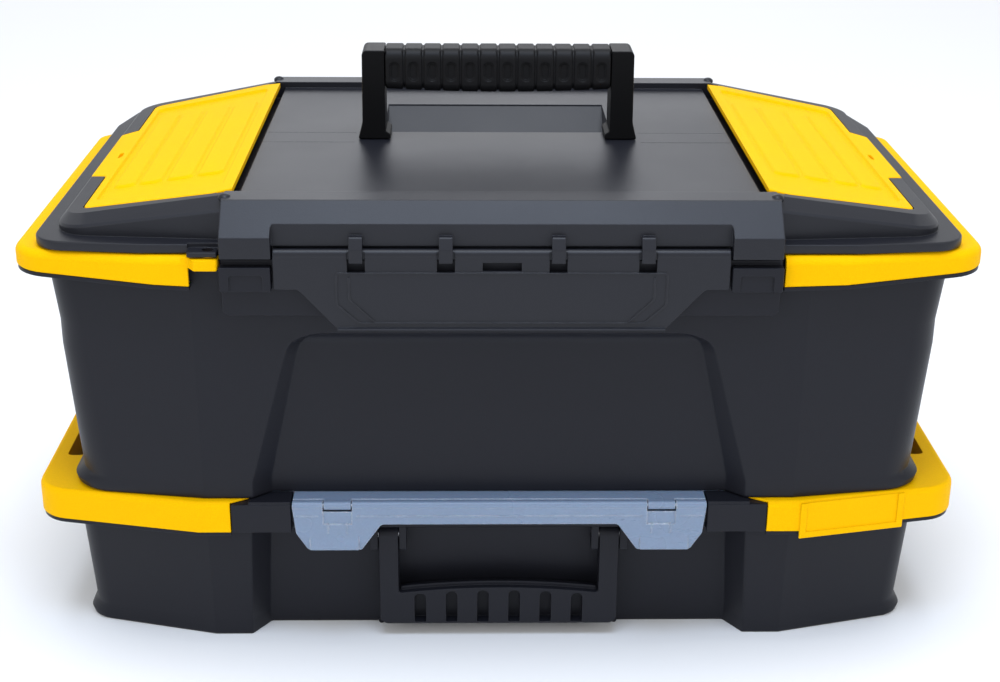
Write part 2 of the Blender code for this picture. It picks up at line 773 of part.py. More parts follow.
def sloped(outline, low, high):
    """A panel that follows the roof, from low to high above it."""
    return loft([ring(outline, lowered(roof_z, -low)), ring(outline, lowered(roof_z, -high))])


def well_outline(side, wall=0.0):
    half = [(0.1525 - wall, -(0.0990 + wall), 0.002), (0.2130 + wall, -(0.0990 + wall), 0.002)]
    return rounded(flipped(half + [(x, -y, r) for x, y, r in reversed(half)], side), 1)


WELL_FLOOR_Z = 0.2246
POCKET = (0.0675, 0.0115, 0.0800, 0.2384)


def cross_profile(edge_y, top_z, face_y, face_z, foot_z):
    """The lid's middle section across Y and Z: a level top and 45 degree front and rear slopes."""
    half = [(-edge_y, top_z), (-face_y, face_z), (-face_y, foot_z)]
    return half + [(-y, z) for y, z in reversed(half)]


def make_upper_lid():
    middle = cross_profile(BEAM_Y, BEAM_Z, SHOULDER_Y, 0.2484, 0.2372)
    lid = plate(middle, -SHOULDER_OUT_X, SHOULDER_OUT_X, "X")
    lid = part("upper_lid", lid, CHARCOAL)
    fuse(lid, plate(skirt_outline(), SKIRT_Z, LEDGE_Z))
    fuse(lid, *(mound(side) for _, side in SIDES))
    hollow_lid(lid)
    furnish_lid(lid)


def hollow_lid(lid):
    """Cuts the underside back to a thin shell."""
    for facing in (-1, 1):
        low = (-SHOULDER_IN_X + GAP, facing * LID_FRONT_Y, 0.2300)
        cut(lid, box(low, (SHOULDER_IN_X - GAP, facing * (SHOULDER_Y + AWAY), 0.2700)))
    cut(lid, plate(skirt_outline(WALL), SKIRT_Z - 0.0010, 0.2397))
    inside = cross_profile(BEAM_Y - 0.0025, PANEL_Z - WALL, 0.1465, 0.2475, 0.2450)
    cut(lid, plate(inside, -0.1345, 0.1345, "X"))
    cut(lid, box((-0.1345, -0.1422, 0.2350), (0.1345, 0.1422, 0.2455)))
    for _, side in SIDES:
        cut(lid, mound_hollow(side))
        low = (side * 0.1330, -0.1345, 0.2350)
        cut(lid, box(low, (side * 0.1520, 0.1345, 0.2508)))
    for facing in (-1, 1):
        low = (-SHOULDER_IN_X + GAP, facing * 0.1449, 0.2300)
        cut(lid, box(low, (SHOULDER_IN_X - GAP, facing * 0.1520, 0.2426)))


def furnish_lid(lid):
    """Adds the lid's wells, pocket, hinge knuckles and latch clips."""
    half_x, near_y, far_y, floor_z = POCKET
    rim = 0.0022
    shell = (-half_x - rim, near_y - rim, floor_z - rim), (half_x + rim, far_y + rim, 0.2590)
    fuse(lid, box(*shell))
    for _, side in SIDES:
        outside = well_outline(side, 0.0020)
        rings = [ring(outside, WELL_FLOOR_Z - 0.0020), ring(outside, lowered(roof_z, 0.0045))]
        fuse(lid, loft(rings))
    cut(lid, box((-half_x, near_y, floor_z), (half_x, far_y, BEAM_Z + AWAY)))
    low = (-PANEL_HALF_X, -PANEL_HALF_Y, PANEL_Z)
    cut(lid, box(low, (PANEL_HALF_X, PANEL_HALF_Y, BEAM_Z + AWAY)))
    for _, side in SIDES:
        cut(lid, sloped(cover_outline(side, GAP, 0.1380), -COVER_THICK - 0.0006, AWAY))
        low = (side * (PANEL_HALF_X - 0.0002), -PANEL_HALF_Y, 0.2534)
        cut(lid, box(low, (side * 0.1478, PANEL_HALF_Y, BEAM_Z + AWAY)))
        inside = well_outline(side)
        cut(lid, loft([ring(inside, WELL_FLOOR_Z), ring(inside, BEAM_Z + AWAY)]))
        pin = [(side * COVER_PIVOT_X, y, COVER_PIVOT_Z) for y in (-0.1300, 0.1300)]
        cut(lid, rod(*pin, 0.0016, 10))
        low = (side * 0.0711, -0.0006, 0.2500)
        cut(lid, box(low, (side * 0.0769, 0.0126, 0.2700)))
        low = (side * 0.0530, 0.1450, 0.2400)
        cut(lid, box(low, (side * 0.0970, 0.1520, 0.2454)))
        low = (side * 0.0630, 0.1466, 0.2395)
        fuse(lid, box(low, (side * 0.0870, 0.1504, 0.2500)))
    fuse(lid, *lid_hinge_rods(UPPER_LID_KNUCKLES_X, LID_KNUCKLE_R))
    cut(lid, *lid_hinge_rods(((0.0500, 0.1000),), 0.0022))
    fuse(lid, *(latch_clip(x) for x in CLIP_XS))
    low = (-0.1608, -0.1510, SKIRT_Z)
    fuse(lid, box(low, (-0.1452, -0.1400, 0.2396)))
    low = (-0.1608, -0.1560, 0.2396)
    cut(lid, box(low, (-SHOULDER_OUT_X - 0.0002, -0.1424, 0.2450)))
    cut(lid, rod(*padlock_axis(0.2300, 0.2396 + AWAY), PADLOCK_R, 16))
    fuse(lid, *(pin_boss(side, facing) for _, side in SIDES for facing in (-1, 1)))


def pin_boss(side, facing):
    """A low round boss over the end of a compartment cover's hinge pin."""
    foot = (side * 0.1422, facing * 0.1330, BEAM_Z - 0.0010)
    return rod(foot, (foot[0], foot[1], BEAM_Z + 0.0016), 0.0034, 12)


def latch_clip(x):
    """A hook on the lid that holds the front latch's roll."""
    outline = [
        (-0.1475, 0.2484),
        (-0.1532, 0.2484),
        (-0.1556, 0.2460),
        (-0.1556, 0.2352),
        (-0.1541, 0.2352),
        (-0.1541, 0.2426),
        (-0.1475, 0.2432),
    ]
    return plate(outline, x - 0.0033, x + 0.0033, "X")


def make_front_latch():
    """The wide front latch. It hangs from its roll, and its foot closes over the rim block."""
    half = [
        (SHOULDER_IN_X - 0.0012, 0.2388, 0),
        (SHOULDER_IN_X - 0.0012, 0.2204, 0.0015),
        (0.1045, 0.2204, 0.003),
        (0.0838, 0.1978, 0.003),
    ]
    corners = half + [(-x, z, r) for x, z, r in reversed(half)]
    outline = rounded(corners, 2)
    latch = plate(outline, -LATCH_FRONT_Y, -LATCH_BACK_Y, "Y")
    latch = part("front_latch", latch, CHARCOAL)
    ends = [(x, -LID_HINGE_Y, LID_HINGE_Z) for x in (-0.1168, 0.1168)]
    fuse(latch, rod(*ends, LATCH_ROLL_R))
    fuse(latch, box((-0.0830, -0.1550, 0.1978), (0.0830, -0.1520, 0.1994)))
    for x in CLIP_XS:
        low = (x - 0.0045, -0.1560, 0.2296)
        cut(latch, box(low, (x + 0.0045, -0.1500, 0.2368)))
        low = (x - 0.0045, -0.1560, 0.2350)
        cut(latch, box(low, (x + 0.0045, -0.1530, 0.2420)))
    cut(latch, box((-0.0100, -0.1560, 0.2304), (0.0100, -0.1500, 0.2352)))


def make_cover(name, side):
    """A yellow compartment cover with a hinge barrel along its inner edge."""
    cover = sloped(cover_outline(side), -COVER_THICK, 0.0003)
    cover = part(name, cover, YELLOW)
    ends = [(side * COVER_PIVOT_X, y, COVER_PIVOT_Z) for y in (-0.1180, 0.1180)]
    fuse(cover, rod(*ends, 0.0026, 10))
    bore = [(side * COVER_PIVOT_X, y, COVER_PIVOT_Z) for y in (-0.1300, 0.1300)]
    cut(cover, rod(*bore, 0.0016, 10))


def make_cover_pin(name, side):
    ends = [(side * COVER_PIVOT_X, y, COVER_PIVOT_Z) for y in (-0.1295, 0.1295)]
    part(name, rod(*ends, 0.0013, 8), STEEL)


def make_lid_hinge_pins():
    for word, side in SIDES:
        ends = [(side * x, LID_HINGE_Y, LID_HINGE_Z) for x in (0.0542, 0.0958)]
        part(f"lid_hinge_pin_{word}", rod(*ends, 0.0019), STEEL)


# Top handle


def make_top_handle():
    """The fixed carrying handle: two posts and a core bar, with tongues into the lid."""
    bar_z = (0.2960, 0.3078)
    bar_y = (0.0004, 0.0110)
    low = (-POST_IN_X - 0.002, bar_y[0], bar_z[0])
    handle = box(low, (POST_IN_X + 0.002, bar_y[1], bar_z[1]))
    handle = part("top_handle", handle, BLACK)
    foot_z = PANEL_Z + GAP
    for _, side in SIDES:
        outline = rounded(
            flipped(
                [
                    (FOOT_OUT_X, foot_z, 0),
                    (FOOT_OUT_X - 0.0004, foot_z + 0.0020, 0),
                    (POST_OUT_X, foot_z + 0.0110, 0),
                    (POST_OUT_X, GRIP_TOP_Z - 0.0006, 0.0060),
                    (POST_IN_X, GRIP_TOP_Z - 0.0006, 0),
                    (POST_IN_X, foot_z + 0.0080, 0),
                    (POST_IN_X - 0.0028, foot_z + 0.0060, 0),
                    (POST_IN_X - 0.0028, foot_z, 0),
                ],
                side,
            )
        )
        fuse(handle, plate(outline, TOP_HANDLE_FRONT_Y, TOP_HANDLE_REAR_Y, "Y"))
        low = (side * 0.0715, 0.0, 0.2535)
        fuse(handle, box(low, (side * 0.0765, 0.0120, 0.2700)))
    grip_corner = 0.0055
    outline = rounded(
        [
            (TOP_HANDLE_FRONT_Y, 0.2895, grip_corner),
            (TOP_HANDLE_REAR_Y, 0.2895, grip_corner),
            (TOP_HANDLE_REAR_Y, GRIP_TOP_Z, grip_corner),
            (TOP_HANDLE_FRONT_Y, GRIP_TOP_Z, grip_corner),
        ]
    )
    half_x = POST_IN_X - GAP
    grip = part("handle_grip", plate(outline, -half_x, half_x, "X"), BLACK)
    low = (-POST_OUT_X, bar_y[0] - GAP, bar_z[0] - GAP)
    cut(grip, box(low, (POST_OUT_X, bar_y[1] + GAP, bar_z[1] + GAP)))


# Tray


def make_tray():
    """The lift-out tray, with a lengthwise wall that rises to a bar to lift it by."""
    floor_z, top_z = 0.1752, 0.2200

    def outline(half_x, half_y, z):
        return ring(rounded(four_way([(half_x, -half_y, 0.010)])), z)

    rings = [
        outline(0.2230, 0.1180, floor_z),
        outline(0.2275, 0.1225, top_z),
        outline(0.2255, 0.1205, top_z),
        outline(0.2211, 0.1161, floor_z + 0.0020),
    ]
    tray = part("lift_out_tray", loft(rings), YELLOW)
    wall = [(-0.2240, 0.1760), (0.2240, 0.1760), (0.2240, 0.2060), (0.0640, 0.2060)]
    wall += [(0.0500, 0.2180), (-0.0500, 0.2180), (-0.0640, 0.2060), (-0.2240, 0.2060)]
    fuse(tray, plate(wall, -0.0010, 0.0010, "Y"))
    fuse(tray, box((-0.0480, -0.0028, 0.2150), (0.0480, 0.0028, 0.2190)))


make_lower_tub()
make_lower_lid()
make_lower_latch()
make_carry_handle()
make_carry_pins()
make_lower_hinge_pins()
make_dividers()
make_upper_tub()
make_upper_lid()
make_lid_hinge_pins()
make_front_latch()
make_top_handle()
make_tray()
for word, side in SIDES:
    make_lower_side_handle(f"lower_side_handle_{word}", side)
    make_upper_side_handle(f"upper_side_handle_{word}", side)
    make_cover(f"compartment_lid_{word}", side)
    make_cover_pin(f"compartment_lid_pin_{word}", side)
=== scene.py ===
"""The looks of the two-box tool box: fine moulded shells, ribs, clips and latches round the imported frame."""

import json
import math

import bmesh
import bpy
from mathutils import Matrix, Vector

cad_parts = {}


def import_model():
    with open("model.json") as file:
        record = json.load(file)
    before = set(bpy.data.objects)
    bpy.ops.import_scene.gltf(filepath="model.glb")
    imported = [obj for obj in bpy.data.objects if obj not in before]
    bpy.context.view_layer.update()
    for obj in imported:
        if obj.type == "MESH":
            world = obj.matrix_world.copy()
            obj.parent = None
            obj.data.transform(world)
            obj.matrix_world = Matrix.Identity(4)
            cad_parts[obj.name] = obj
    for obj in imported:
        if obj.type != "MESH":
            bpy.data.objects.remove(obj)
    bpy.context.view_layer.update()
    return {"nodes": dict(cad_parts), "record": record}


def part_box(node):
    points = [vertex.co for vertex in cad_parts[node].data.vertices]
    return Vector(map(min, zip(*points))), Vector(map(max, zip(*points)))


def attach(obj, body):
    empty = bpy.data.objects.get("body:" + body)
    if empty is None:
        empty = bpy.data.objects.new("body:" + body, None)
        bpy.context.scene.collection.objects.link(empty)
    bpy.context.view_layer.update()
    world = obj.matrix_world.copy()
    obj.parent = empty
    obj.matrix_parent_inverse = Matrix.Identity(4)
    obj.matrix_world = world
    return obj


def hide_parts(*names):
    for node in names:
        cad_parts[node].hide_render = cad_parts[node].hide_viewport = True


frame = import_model()

# Sizes. Hinges are (y, z) and rolls (y, z, radius). SLOT is (near x, far x, half y), POCKET is
# (half x, front y, rear y, floor z), PADLOCK is (x, y, radius), and a tub's plan sizes are (half x,
# half y).
ARC_STEPS = 8
GAP = 0.0004
WALL = 0.0024
SIDES = (-1, 1)

LOWER_RIM_Z = 0.0885
LOWER_BAND_Z = 0.0735
LOWER_BASE = (0.2375, 0.1272)
LOWER_TOP = (0.2372, 0.1335)
LOWER_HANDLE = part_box("lower_side_handle_left")
LOWER_HANDLE_END_X = -LOWER_HANDLE[1].x
LOWER_HANDLE_HALF_X = -LOWER_HANDLE[0].x
LOWER_HANDLE_FRONT = -LOWER_HANDLE[0].y
LOWER_HANDLE_TOP_Z = LOWER_HANDLE[1].z
LOWER_SLANT = 0.0206
HANDLE_TURN = 0.018
SLOT = (0.2394, 0.249, 0.0815)
CLEAR_HALF_X = 0.1137
CLEAR_ROLL = (-0.14, 0.0898, 0.0025)

UPPER_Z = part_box("upper_tub")[0].z
UPPER_FOOT_HALF_X = 0.2376
UPPER_BASE = (0.2325, 0.1372)
UPPER_TOP = (0.2412, 0.1392)
UPPER_RIM_Z = 0.2355
UPPER_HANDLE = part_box("upper_side_handle_right")
UPPER_HANDLE_RIGHT_X = UPPER_HANDLE[0].x
UPPER_HANDLE_HALF_X = UPPER_HANDLE[1].x
UPPER_HANDLE_REAR_Y = UPPER_HANDLE[1].y
UPPER_HANDLE_FRONT = -UPPER_HANDLE[0].y
UPPER_HANDLE_END_X = 0.1608
UPPER_HANDLE_TOP_Z = UPPER_HANDLE[1].z
RECESS_TOP_Z = 0.185
SHOULDER_IN_X = 0.118
SHOULDER_OUT_X = 0.1435
SLANT_START_X = 0.162

SKIRT_Z = 0.2368
LEDGE_Z = 0.242
BEAM_Z = 0.264
OVER_LID_Z = BEAM_Z + 0.01
PANEL_Z = 0.26
PANEL = (0.1372, 0.1236)
SHOULDER_Y = 0.155
LID_FRONT_Y = 0.149
BEAM_Y = 0.139
ROOF_SLOPE = 0.17
ROOF_START_X = 0.14
COVER_THICK = 0.0027
COVER_PIVOT = (0.144, 0.2598)
POCKET = (0.0675, 0.0115, 0.08, 0.2384)
WELL_FLOOR_Z = 0.2246
LID_HINGE = (0.1508, 0.2388)
PADLOCK = (-0.1502, -0.1458, 0.0031)

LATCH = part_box("front_latch")
LATCH_ROLL = (-LID_HINGE[0], LID_HINGE[1], 0.0029)
CLIP_XS = (-0.0745, -0.0287, 0.0287, 0.0745)
LINE_PROUD = 0.0007
LINE_WIDE = 0.001
LOWER_HINGE = (0.1462, 0.09)
LOWER_KNUCKLE = 0.0038
LOWER_BORE = 0.0019
LOWER_BORE_X = ((0.045, 0.099),)
TUB_KNUCKLES_X = ((0.051, 0.0595), (0.0845, 0.093))
UPPER_KNUCKLE = 0.0048
UPPER_BORE = 0.0022
UPPER_BORE_X = ((0.05, 0.1),)
UPPER_KNUCKLES_X = ((0.054, 0.0625), (0.0875, 0.096))

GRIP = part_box("handle_grip")
TOP_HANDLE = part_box("top_handle")
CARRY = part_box("carry_handle")
CARRY_PIVOT_Z = 0.0645
CARRY_INNER_X = 0.0565
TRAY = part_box("lift_out_tray")


# Shape makers


def linked(name, data):
    obj = bpy.data.objects.new(name, data)
    bpy.context.scene.collection.objects.link(obj)
    return obj


def from_bmesh(bm, soft=0.0, angle=35):
    bmesh.ops.recalc_face_normals(bm, faces=bm.faces[:])
    mesh = bpy.data.meshes.new("tool")
    bm.to_mesh(mesh)
    bm.free()
    obj = linked("tool", mesh)
    return softened(obj, soft, angle) if soft else obj


def softened(obj, width, angle=35):
    """Rounds every edge that is sharper than angle."""
    made = obj.modifiers.new("rounded edges", "BEVEL")
    made.width = width
    made.segments = 2
    made.limit_method = "ANGLE"
    made.angle_limit = math.radians(angle)
    return obj


def box(low, high, soft=0.0):
    low, high = Vector(low), Vector(high)
    size = [abs(b - a) for a, b in zip(low, high)]
    bm = bmesh.new()
    place = Matrix.Translation((low + high) / 2) @ Matrix.Diagonal((*size, 1.0))
    bmesh.ops.create_cube(bm, size=1.0, matrix=place)
    return from_bmesh(bm, soft)


def rod(start, end, radius, sides=32, soft=0.0):
    start, end = Vector(start), Vector(end)
    bm = bmesh.new()
    turn = (end - start).to_track_quat("Z", "Y").to_matrix().to_4x4()
    place = Matrix.Translation((start + end) / 2) @ turn
    sizes = {"radius1": radius, "radius2": radius, "depth": (end - start).length}
    bmesh.ops.create_cone(bm, cap_ends=True, segments=sides, matrix=place, **sizes)
    return from_bmesh(bm, soft)


def rounded(corners, steps=ARC_STEPS):
    """The points of a closed outline whose corners are (x, y, radius)."""
    points = []
    for i, (x, y, radius) in enumerate(corners):
        here = Vector((x, y))
        if radius == 0:
            points.append(here)
            continue
        before = (Vector(corners[i - 1][:2]) - here).normalized()
        after = (Vector(corners[(i + 1) % len(corners)][:2]) - here).normalized()
        if before.dot(after) < -0.9999:
            for step in range(steps + 1):
                share = step / steps * 2 - 1
                points.append(here + (after if share > 0 else before) * abs(share) * radius / 2)
            continue
        half = before.angle(after) / 2
        centre = here + (before + after).normalized() * radius / math.sin(half)
        reach = radius / math.tan(half)
        first = here + before * reach - centre
        last = here + after * reach - centre
        angle = math.atan2(first.y, first.x)
        turn = (math.atan2(last.y, last.x) - angle + math.pi) % math.tau - math.pi
        for step in range(steps + 1):
            at = angle + turn * step / steps
            points.append(centre + Vector((math.cos(at), math.sin(at))) * radius)
    return points


def plate(outline, low, high, axis="Z", soft=0.0):
    """A flat outline with thickness. It lies across axis, from low to high along it."""
    columns = {
        "Z": ((1, 0, 0), (0, 1, 0), (0, 0, 1)),
        "Y": ((1, 0, 0), (0, 0, 1), (0, 1, 0)),
        "X": ((0, 1, 0), (0, 0, 1), (1, 0, 0)),
    }[axis]
    turn = Matrix(columns).transposed()
    bm = bmesh.new()
    face = bm.faces.new([bm.verts.new(turn @ Vector((a, b, low))) for a, b in outline])
    more = bmesh.ops.extrude_face_region(bm, geom=[face])["geom"]
    moved = [item for item in more if isinstance(item, bmesh.types.BMVert)]
    bmesh.ops.translate(bm, verts=moved, vec=turn @ Vector((0, 0, high - low)))
    return from_bmesh(bm, soft)


def loft(rings, soft=0.0, angle=30):
    """A closed solid through rings that have the same number of points, capped at both ends."""
    bm = bmesh.new()
    made = [[bm.verts.new(point) for point in ring] for ring in rings]
    count = len(made[0])
    for lower, upper in zip(made, made[1:]):
        for i in range(count):
            j = (i + 1) % count
            bm.faces.new((lower[i], lower[j], upper[j], upper[i]))
    caps = [bm.faces.new(reversed(made[0])), bm.faces.new(made[-1])]
    bm.normal_update()
    bmesh.ops.triangulate(bm, faces=caps)
    return from_bmesh(bm, soft, angle)


def ring(points, z):
    """A plan outline at height z, which is a number or a function of x and y."""
    height = z if callable(z) else lambda x, y: z
    return [(x, y, height(x, y)) for x, y in points]


def boolean(target, operation, tools):
    for tool in tools:
        made = target.modifiers.new(operation.lower(), "BOOLEAN")
        made.operation = operation
        made.solver = "MANIFOLD"
        made.object = tool
    return target


def cut(target, *tools):
    return boolean(target, "DIFFERENCE", tools)


def fuse(target, *tools):
    return boolean(target, "UNION", tools)


def baked(obj):
    """The object with its modifiers applied, and the helpers that they used removed."""
    bpy.context.view_layer.update()
    graph = bpy.context.evaluated_depsgraph_get()
    mesh = bpy.data.meshes.new_from_object(obj.evaluated_get(graph))
    for modifier in list(obj.modifiers):
        tool = getattr(modifier, "object", None)
        obj.modifiers.remove(modifier)
        if tool:
            drop(tool)
    obj.data = mesh
    return obj


def drop(tool):
    for modifier in tool.modifiers:
        if getattr(modifier, "object", None):
            drop(modifier.object)
    bpy.data.objects.remove(tool)


def piece(name, obj, body, slot, material, *nodes):
    """Finishes a detailed piece: bakes it, merges flat faces, shades it, and ties it to the frame."""
    baked(obj)
    bm = bmesh.new()
    bm.from_mesh(obj.data)
    bmesh.ops.remove_doubles(bm, verts=bm.verts, dist=0.000005)
    bmesh.ops.dissolve_degenerate(bm, dist=0.000005, edges=bm.edges)
    bmesh.ops.dissolve_limit(bm, angle_limit=math.radians(0.1), verts=bm.verts, edges=bm.edges)
    bm.to_mesh(obj.data)
    bm.free()
    obj.name = obj.data.name = name
    obj.data.materials.clear()
    obj.data.materials.append(material)
    obj.data.shade_smooth()
    obj.data.set_sharp_from_angle(angle=math.radians(32))
    weighted = obj.modifiers.new("weighted normals", "WEIGHTED_NORMAL")
    weighted.keep_sharp = True
    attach(obj, body)
    if nodes:
        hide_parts(*nodes)
    return obj


def flipped(points, side):
    return [(side * x, *rest) for x, *rest in points]


def across(half):
    """A full outline from its right half."""
    return half + [(-x, y, r) for x, y, r in reversed(half)]


def front_to_rear(half):
    """A full outline from its front half."""
    return half + [(x, -y, r) for x, y, r in reversed(half)]


def four_way(quadrant):
    """A full outline from its front right quarter, which runs from the middle to the side."""
    return across(front_to_rear(quadrant))


# Materials


class Nodes:
    """A small builder for a material's node tree."""

    def __init__(self, name):
        self.material = bpy.data.materials.new(name)
        self.material.use_nodes = True
        self.tree = self.material.node_tree
        self.shader = self.tree.nodes["Principled BSDF"]
        self.coordinates = self.add("ShaderNodeTexCoord").outputs["Object"]

    def add(self, kind, inputs=(), **values):
        """A new node. inputs pairs names with values, and values are the node's own settings."""
        node = self.tree.nodes.new(kind)
        for key, value in values.items():
            setattr(node, key, value)
        for key, value in inputs:
            node.inputs[key].default_value = value
        return node

    def link(self, source, target):
        self.tree.links.new(source, target)

    def set(self, **values):
        for name, value in values.items():
            self.shader.inputs[name.replace("_", " ")].default_value = value

    def noise(self, scale, detail=2.0, roughness=0.5, stretch=None):
        inputs = (("Scale", scale), ("Detail", detail), ("Roughness", roughness))
        node = self.add("ShaderNodeTexNoise", inputs)
        source = self.coordinates
        if stretch:
            mapping = self.add("ShaderNodeMapping", [("Scale", stretch)])
            self.link(source, mapping.inputs["Vector"])
            source = mapping.outputs["Vector"]
        self.link(source, node.inputs["Vector"])
        return node.outputs["Fac"]

    def ranged(self, source, low, high, to_low, to_high):
        inputs = (("From Min", low), ("From Max", high), ("To Min", to_low), ("To Max", to_high))
        node = self.add("ShaderNodeMapRange", inputs)
        self.link(source, node.inputs["Value"])
        return node.outputs["Result"]

    def math(self, operation, first, second):
        node = self.add("ShaderNodeMath", operation=operation)
        for socket, value in zip(node.inputs, (first, second)):
            if isinstance(value, (int, float)):
                socket.default_value = value
            else:
                self.link(value, socket)
        return node.outputs[0]

    def mixed(self, factor, first, second):
        node = self.add("ShaderNodeMix", data_type="RGBA")
        self.link(factor, node.inputs["Factor"])
        for name, value in (("A", first), ("B", second)):
            socket = [s for s in node.inputs if s.name == name and s.type == "RGBA"][0]
            if isinstance(value, tuple):
                socket.default_value = (*value, 1.0)
            else:
                self.link(value, socket)
        return [s for s in node.outputs if s.type == "RGBA"][0]

    def wear_and_highlight_edges(self, radius):
        """Flatness, which is 1 on flat ground and less near a turn of the surface, and a softened normal."""
        bevel = self.add("ShaderNodeBevel", [("Radius", radius)], samples=4)
        geometry = self.add("ShaderNodeNewGeometry")
        dot = self.add("ShaderNodeVectorMath", operation="DOT_PRODUCT")
        self.link(bevel.outputs["Normal"], dot.inputs[0])
        self.link(geometry.outputs["Normal"], dot.inputs[1])
        return dot.outputs["Value"], bevel.outputs["Normal"]


def moulded(name, colour, edge_wear_and_highlight_colour, roughness, shine, grain=0.00006, grain_scale=1500.0, edge=0.0007):
    """Moulded plastic: spark-eroded grain, slow gloss and colour changes, hairline rubs and paler edges, which
    are wear on most plastics and a painted highlight on the clear one.
    """
    n = Nodes(name)
    slow = n.noise(9.0, 3.0)
    fine = n.noise(grain_scale, 3.0, 0.6)
    rubs = n.noise(60.0, 4.0, 0.7, (1.0, 14.0, 6.0))
    flat, soft_normal = n.wear_and_highlight_edges(edge)
    edge_wear_and_highlight_mask = n.ranged(flat, 0.93, 0.7, 0.0, 0.85)
    edge_wear_and_highlight_mask = n.math("MULTIPLY", edge_wear_and_highlight_mask, n.ranged(n.noise(220.0, 3.0), 0.35, 0.65, 0.35, 1.0))
    shade = n.mixed(slow, tuple(c * 0.88 for c in colour), tuple(c * 1.1 for c in colour))
    speck = n.mixed(n.ranged(fine, 0.3, 0.7, 0.0, 1.0), tuple(c * 0.9 for c in colour), shade)
    # Paler edges: wear on most plastics; where the edge colour is near white, as on the clear plastic, this
    # paints a highlight along the edges.
    n.link(n.mixed(edge_wear_and_highlight_mask, speck, edge_wear_and_highlight_colour), n.shader.inputs["Base Color"])
    gloss = n.ranged(slow, 0.3, 0.7, roughness - 0.03, roughness + 0.03)
    gloss = n.math("SUBTRACT", gloss, n.ranged(rubs, 0.62, 0.8, 0.0, 0.07))
    n.link(n.math("SUBTRACT", gloss, n.math("MULTIPLY", edge_wear_and_highlight_mask, 0.08)), n.shader.inputs["Roughness"])
    bump = n.add("ShaderNodeBump", (("Distance", grain), ("Strength", 0.8)))
    n.link(n.math("ADD", fine, n.math("MULTIPLY", rubs, 0.35)), bump.inputs["Height"])
    n.link(soft_normal, bump.inputs["Normal"])
    n.link(bump.outputs["Normal"], n.shader.inputs["Normal"])
    n.set(IOR=1.49, Specular_IOR_Level=shine)
    return n


def yellow():
    colour, edge_wear_and_highlight_colour = (0.93, 0.5, 0.0002), (0.98, 0.58, 0.003)
    made = moulded("yellow_polypropylene", colour, edge_wear_and_highlight_colour, 0.55, 0.035, 0.00003)
    made.set(Subsurface_Weight=0.06, Subsurface_Scale=0.002)
    return made.material


def clear():
    # The near-white edge colour paints a highlight along the clear plastic's edges; it is not wear.
    colour, edge_wear_and_highlight_colour = (0.215, 0.285, 0.405), (0.9, 0.95, 1.0)
    made = moulded("clear_polypropylene", colour, edge_wear_and_highlight_colour, 0.26, 0.5, 0.000006, 900.0, edge=0.0013)
    made.set(Transmission_Weight=0.1, Subsurface_Weight=0.1, Subsurface_Scale=0.002)
    return made.material


def steel():
    n = Nodes("drawn_steel")
    n.set(Metallic=1.0)
    streaks = n.noise(500.0, 3.0, 0.6, (0.05, 1.0, 1.0))
    n.link(n.mixed(streaks, (0.45, 0.45, 0.47), (0.7, 0.7, 0.72)), n.shader.inputs["Base Color"])
    n.link(n.ranged(streaks, 0.3, 0.7, 0.22, 0.38), n.shader.inputs["Roughness"])
    return n.material


CHARCOAL = moulded(
    "charcoal_polypropylene", (0.0105, 0.011, 0.0155), (0.045, 0.046, 0.054), 0.42, 0.2
).material
LID_PLASTIC = moulded(
    "charcoal_lid_polypropylene", (0.0115, 0.0122, 0.017), (0.06, 0.062, 0.07), 0.38, 0.3
).material
BLACK = moulded("black_nylon", (0.0038, 0.0038, 0.0043), (0.018, 0.018, 0.02), 0.42, 0.11).material
RUBBER = moulded(
    "ribbed_rubber", (0.006, 0.006, 0.007), (0.018, 0.018, 0.02), 0.5, 0.18, 0.00009, 1100.0
).material
YELLOW = yellow()
CLEAR = clear()
STEEL = steel()


# Plan outlines


def tub_ring(z, half, slant, recess_x, recess, wall=0.0, corner=0.0145, bevel=0.0095):
    """A tub's plan section: slanted corners, and a recess across the front and the rear."""
    half_x, half_y = half
    face_y, end_x = -(half_y - wall), recess_x + wall / 2
    quadrant = [(recess_x - bevel + wall / 2, -(half_y - recess - wall), 0.002), (end_x, face_y, 0.002)]
    quadrant += [(SLANT_START_X, face_y, 0.004), (half_x - wall, -(half_y - slant - wall), corner - wall)]
    return ring(rounded(four_way(quadrant)), z)


def side_path(front, half_x, slant, corner):
    """The plan line of a lower side handle, from its front end round the side to its rear end."""
    end_x = LOWER_HANDLE_END_X
    half = [(end_x, -front, 0), (end_x + HANDLE_TURN, -front, 0), (half_x, -(front - slant), corner)]
    return rounded(front_to_rear(half))


def band(outer, inner, section, side):
    """A strip that follows two plan lines. section gives its cut at each pair of points."""
    rings = [section(Vector(a), Vector(b)) for a, b in zip(outer, inner)]
    return loft([flipped(points, side) for points in rings])


def flange(paths, side, inset, under, top_z):
    """A thin flange under a side handle, a little inside its outer line."""

    def section(out, inn):
        high = top_z(out.x)
        low = high - under
        out = out + (inn - out).normalized() * inset
        inn = inn + (inn - out).normalized() * 0.0015
        return [(*out, low), (*out, high), (*inn, high), (*inn, low)]

    return band(*paths, section, side)


def brow(top, deep, high, steps):
    """The quarter round along the top of a side handle: distances inward, and heights."""
    turns = [step / steps * math.pi / 2 for step in range(1, steps + 1)]
    return [(deep * (1 - math.cos(at)), top - high + high * math.sin(at)) for at in turns]


# Organizer


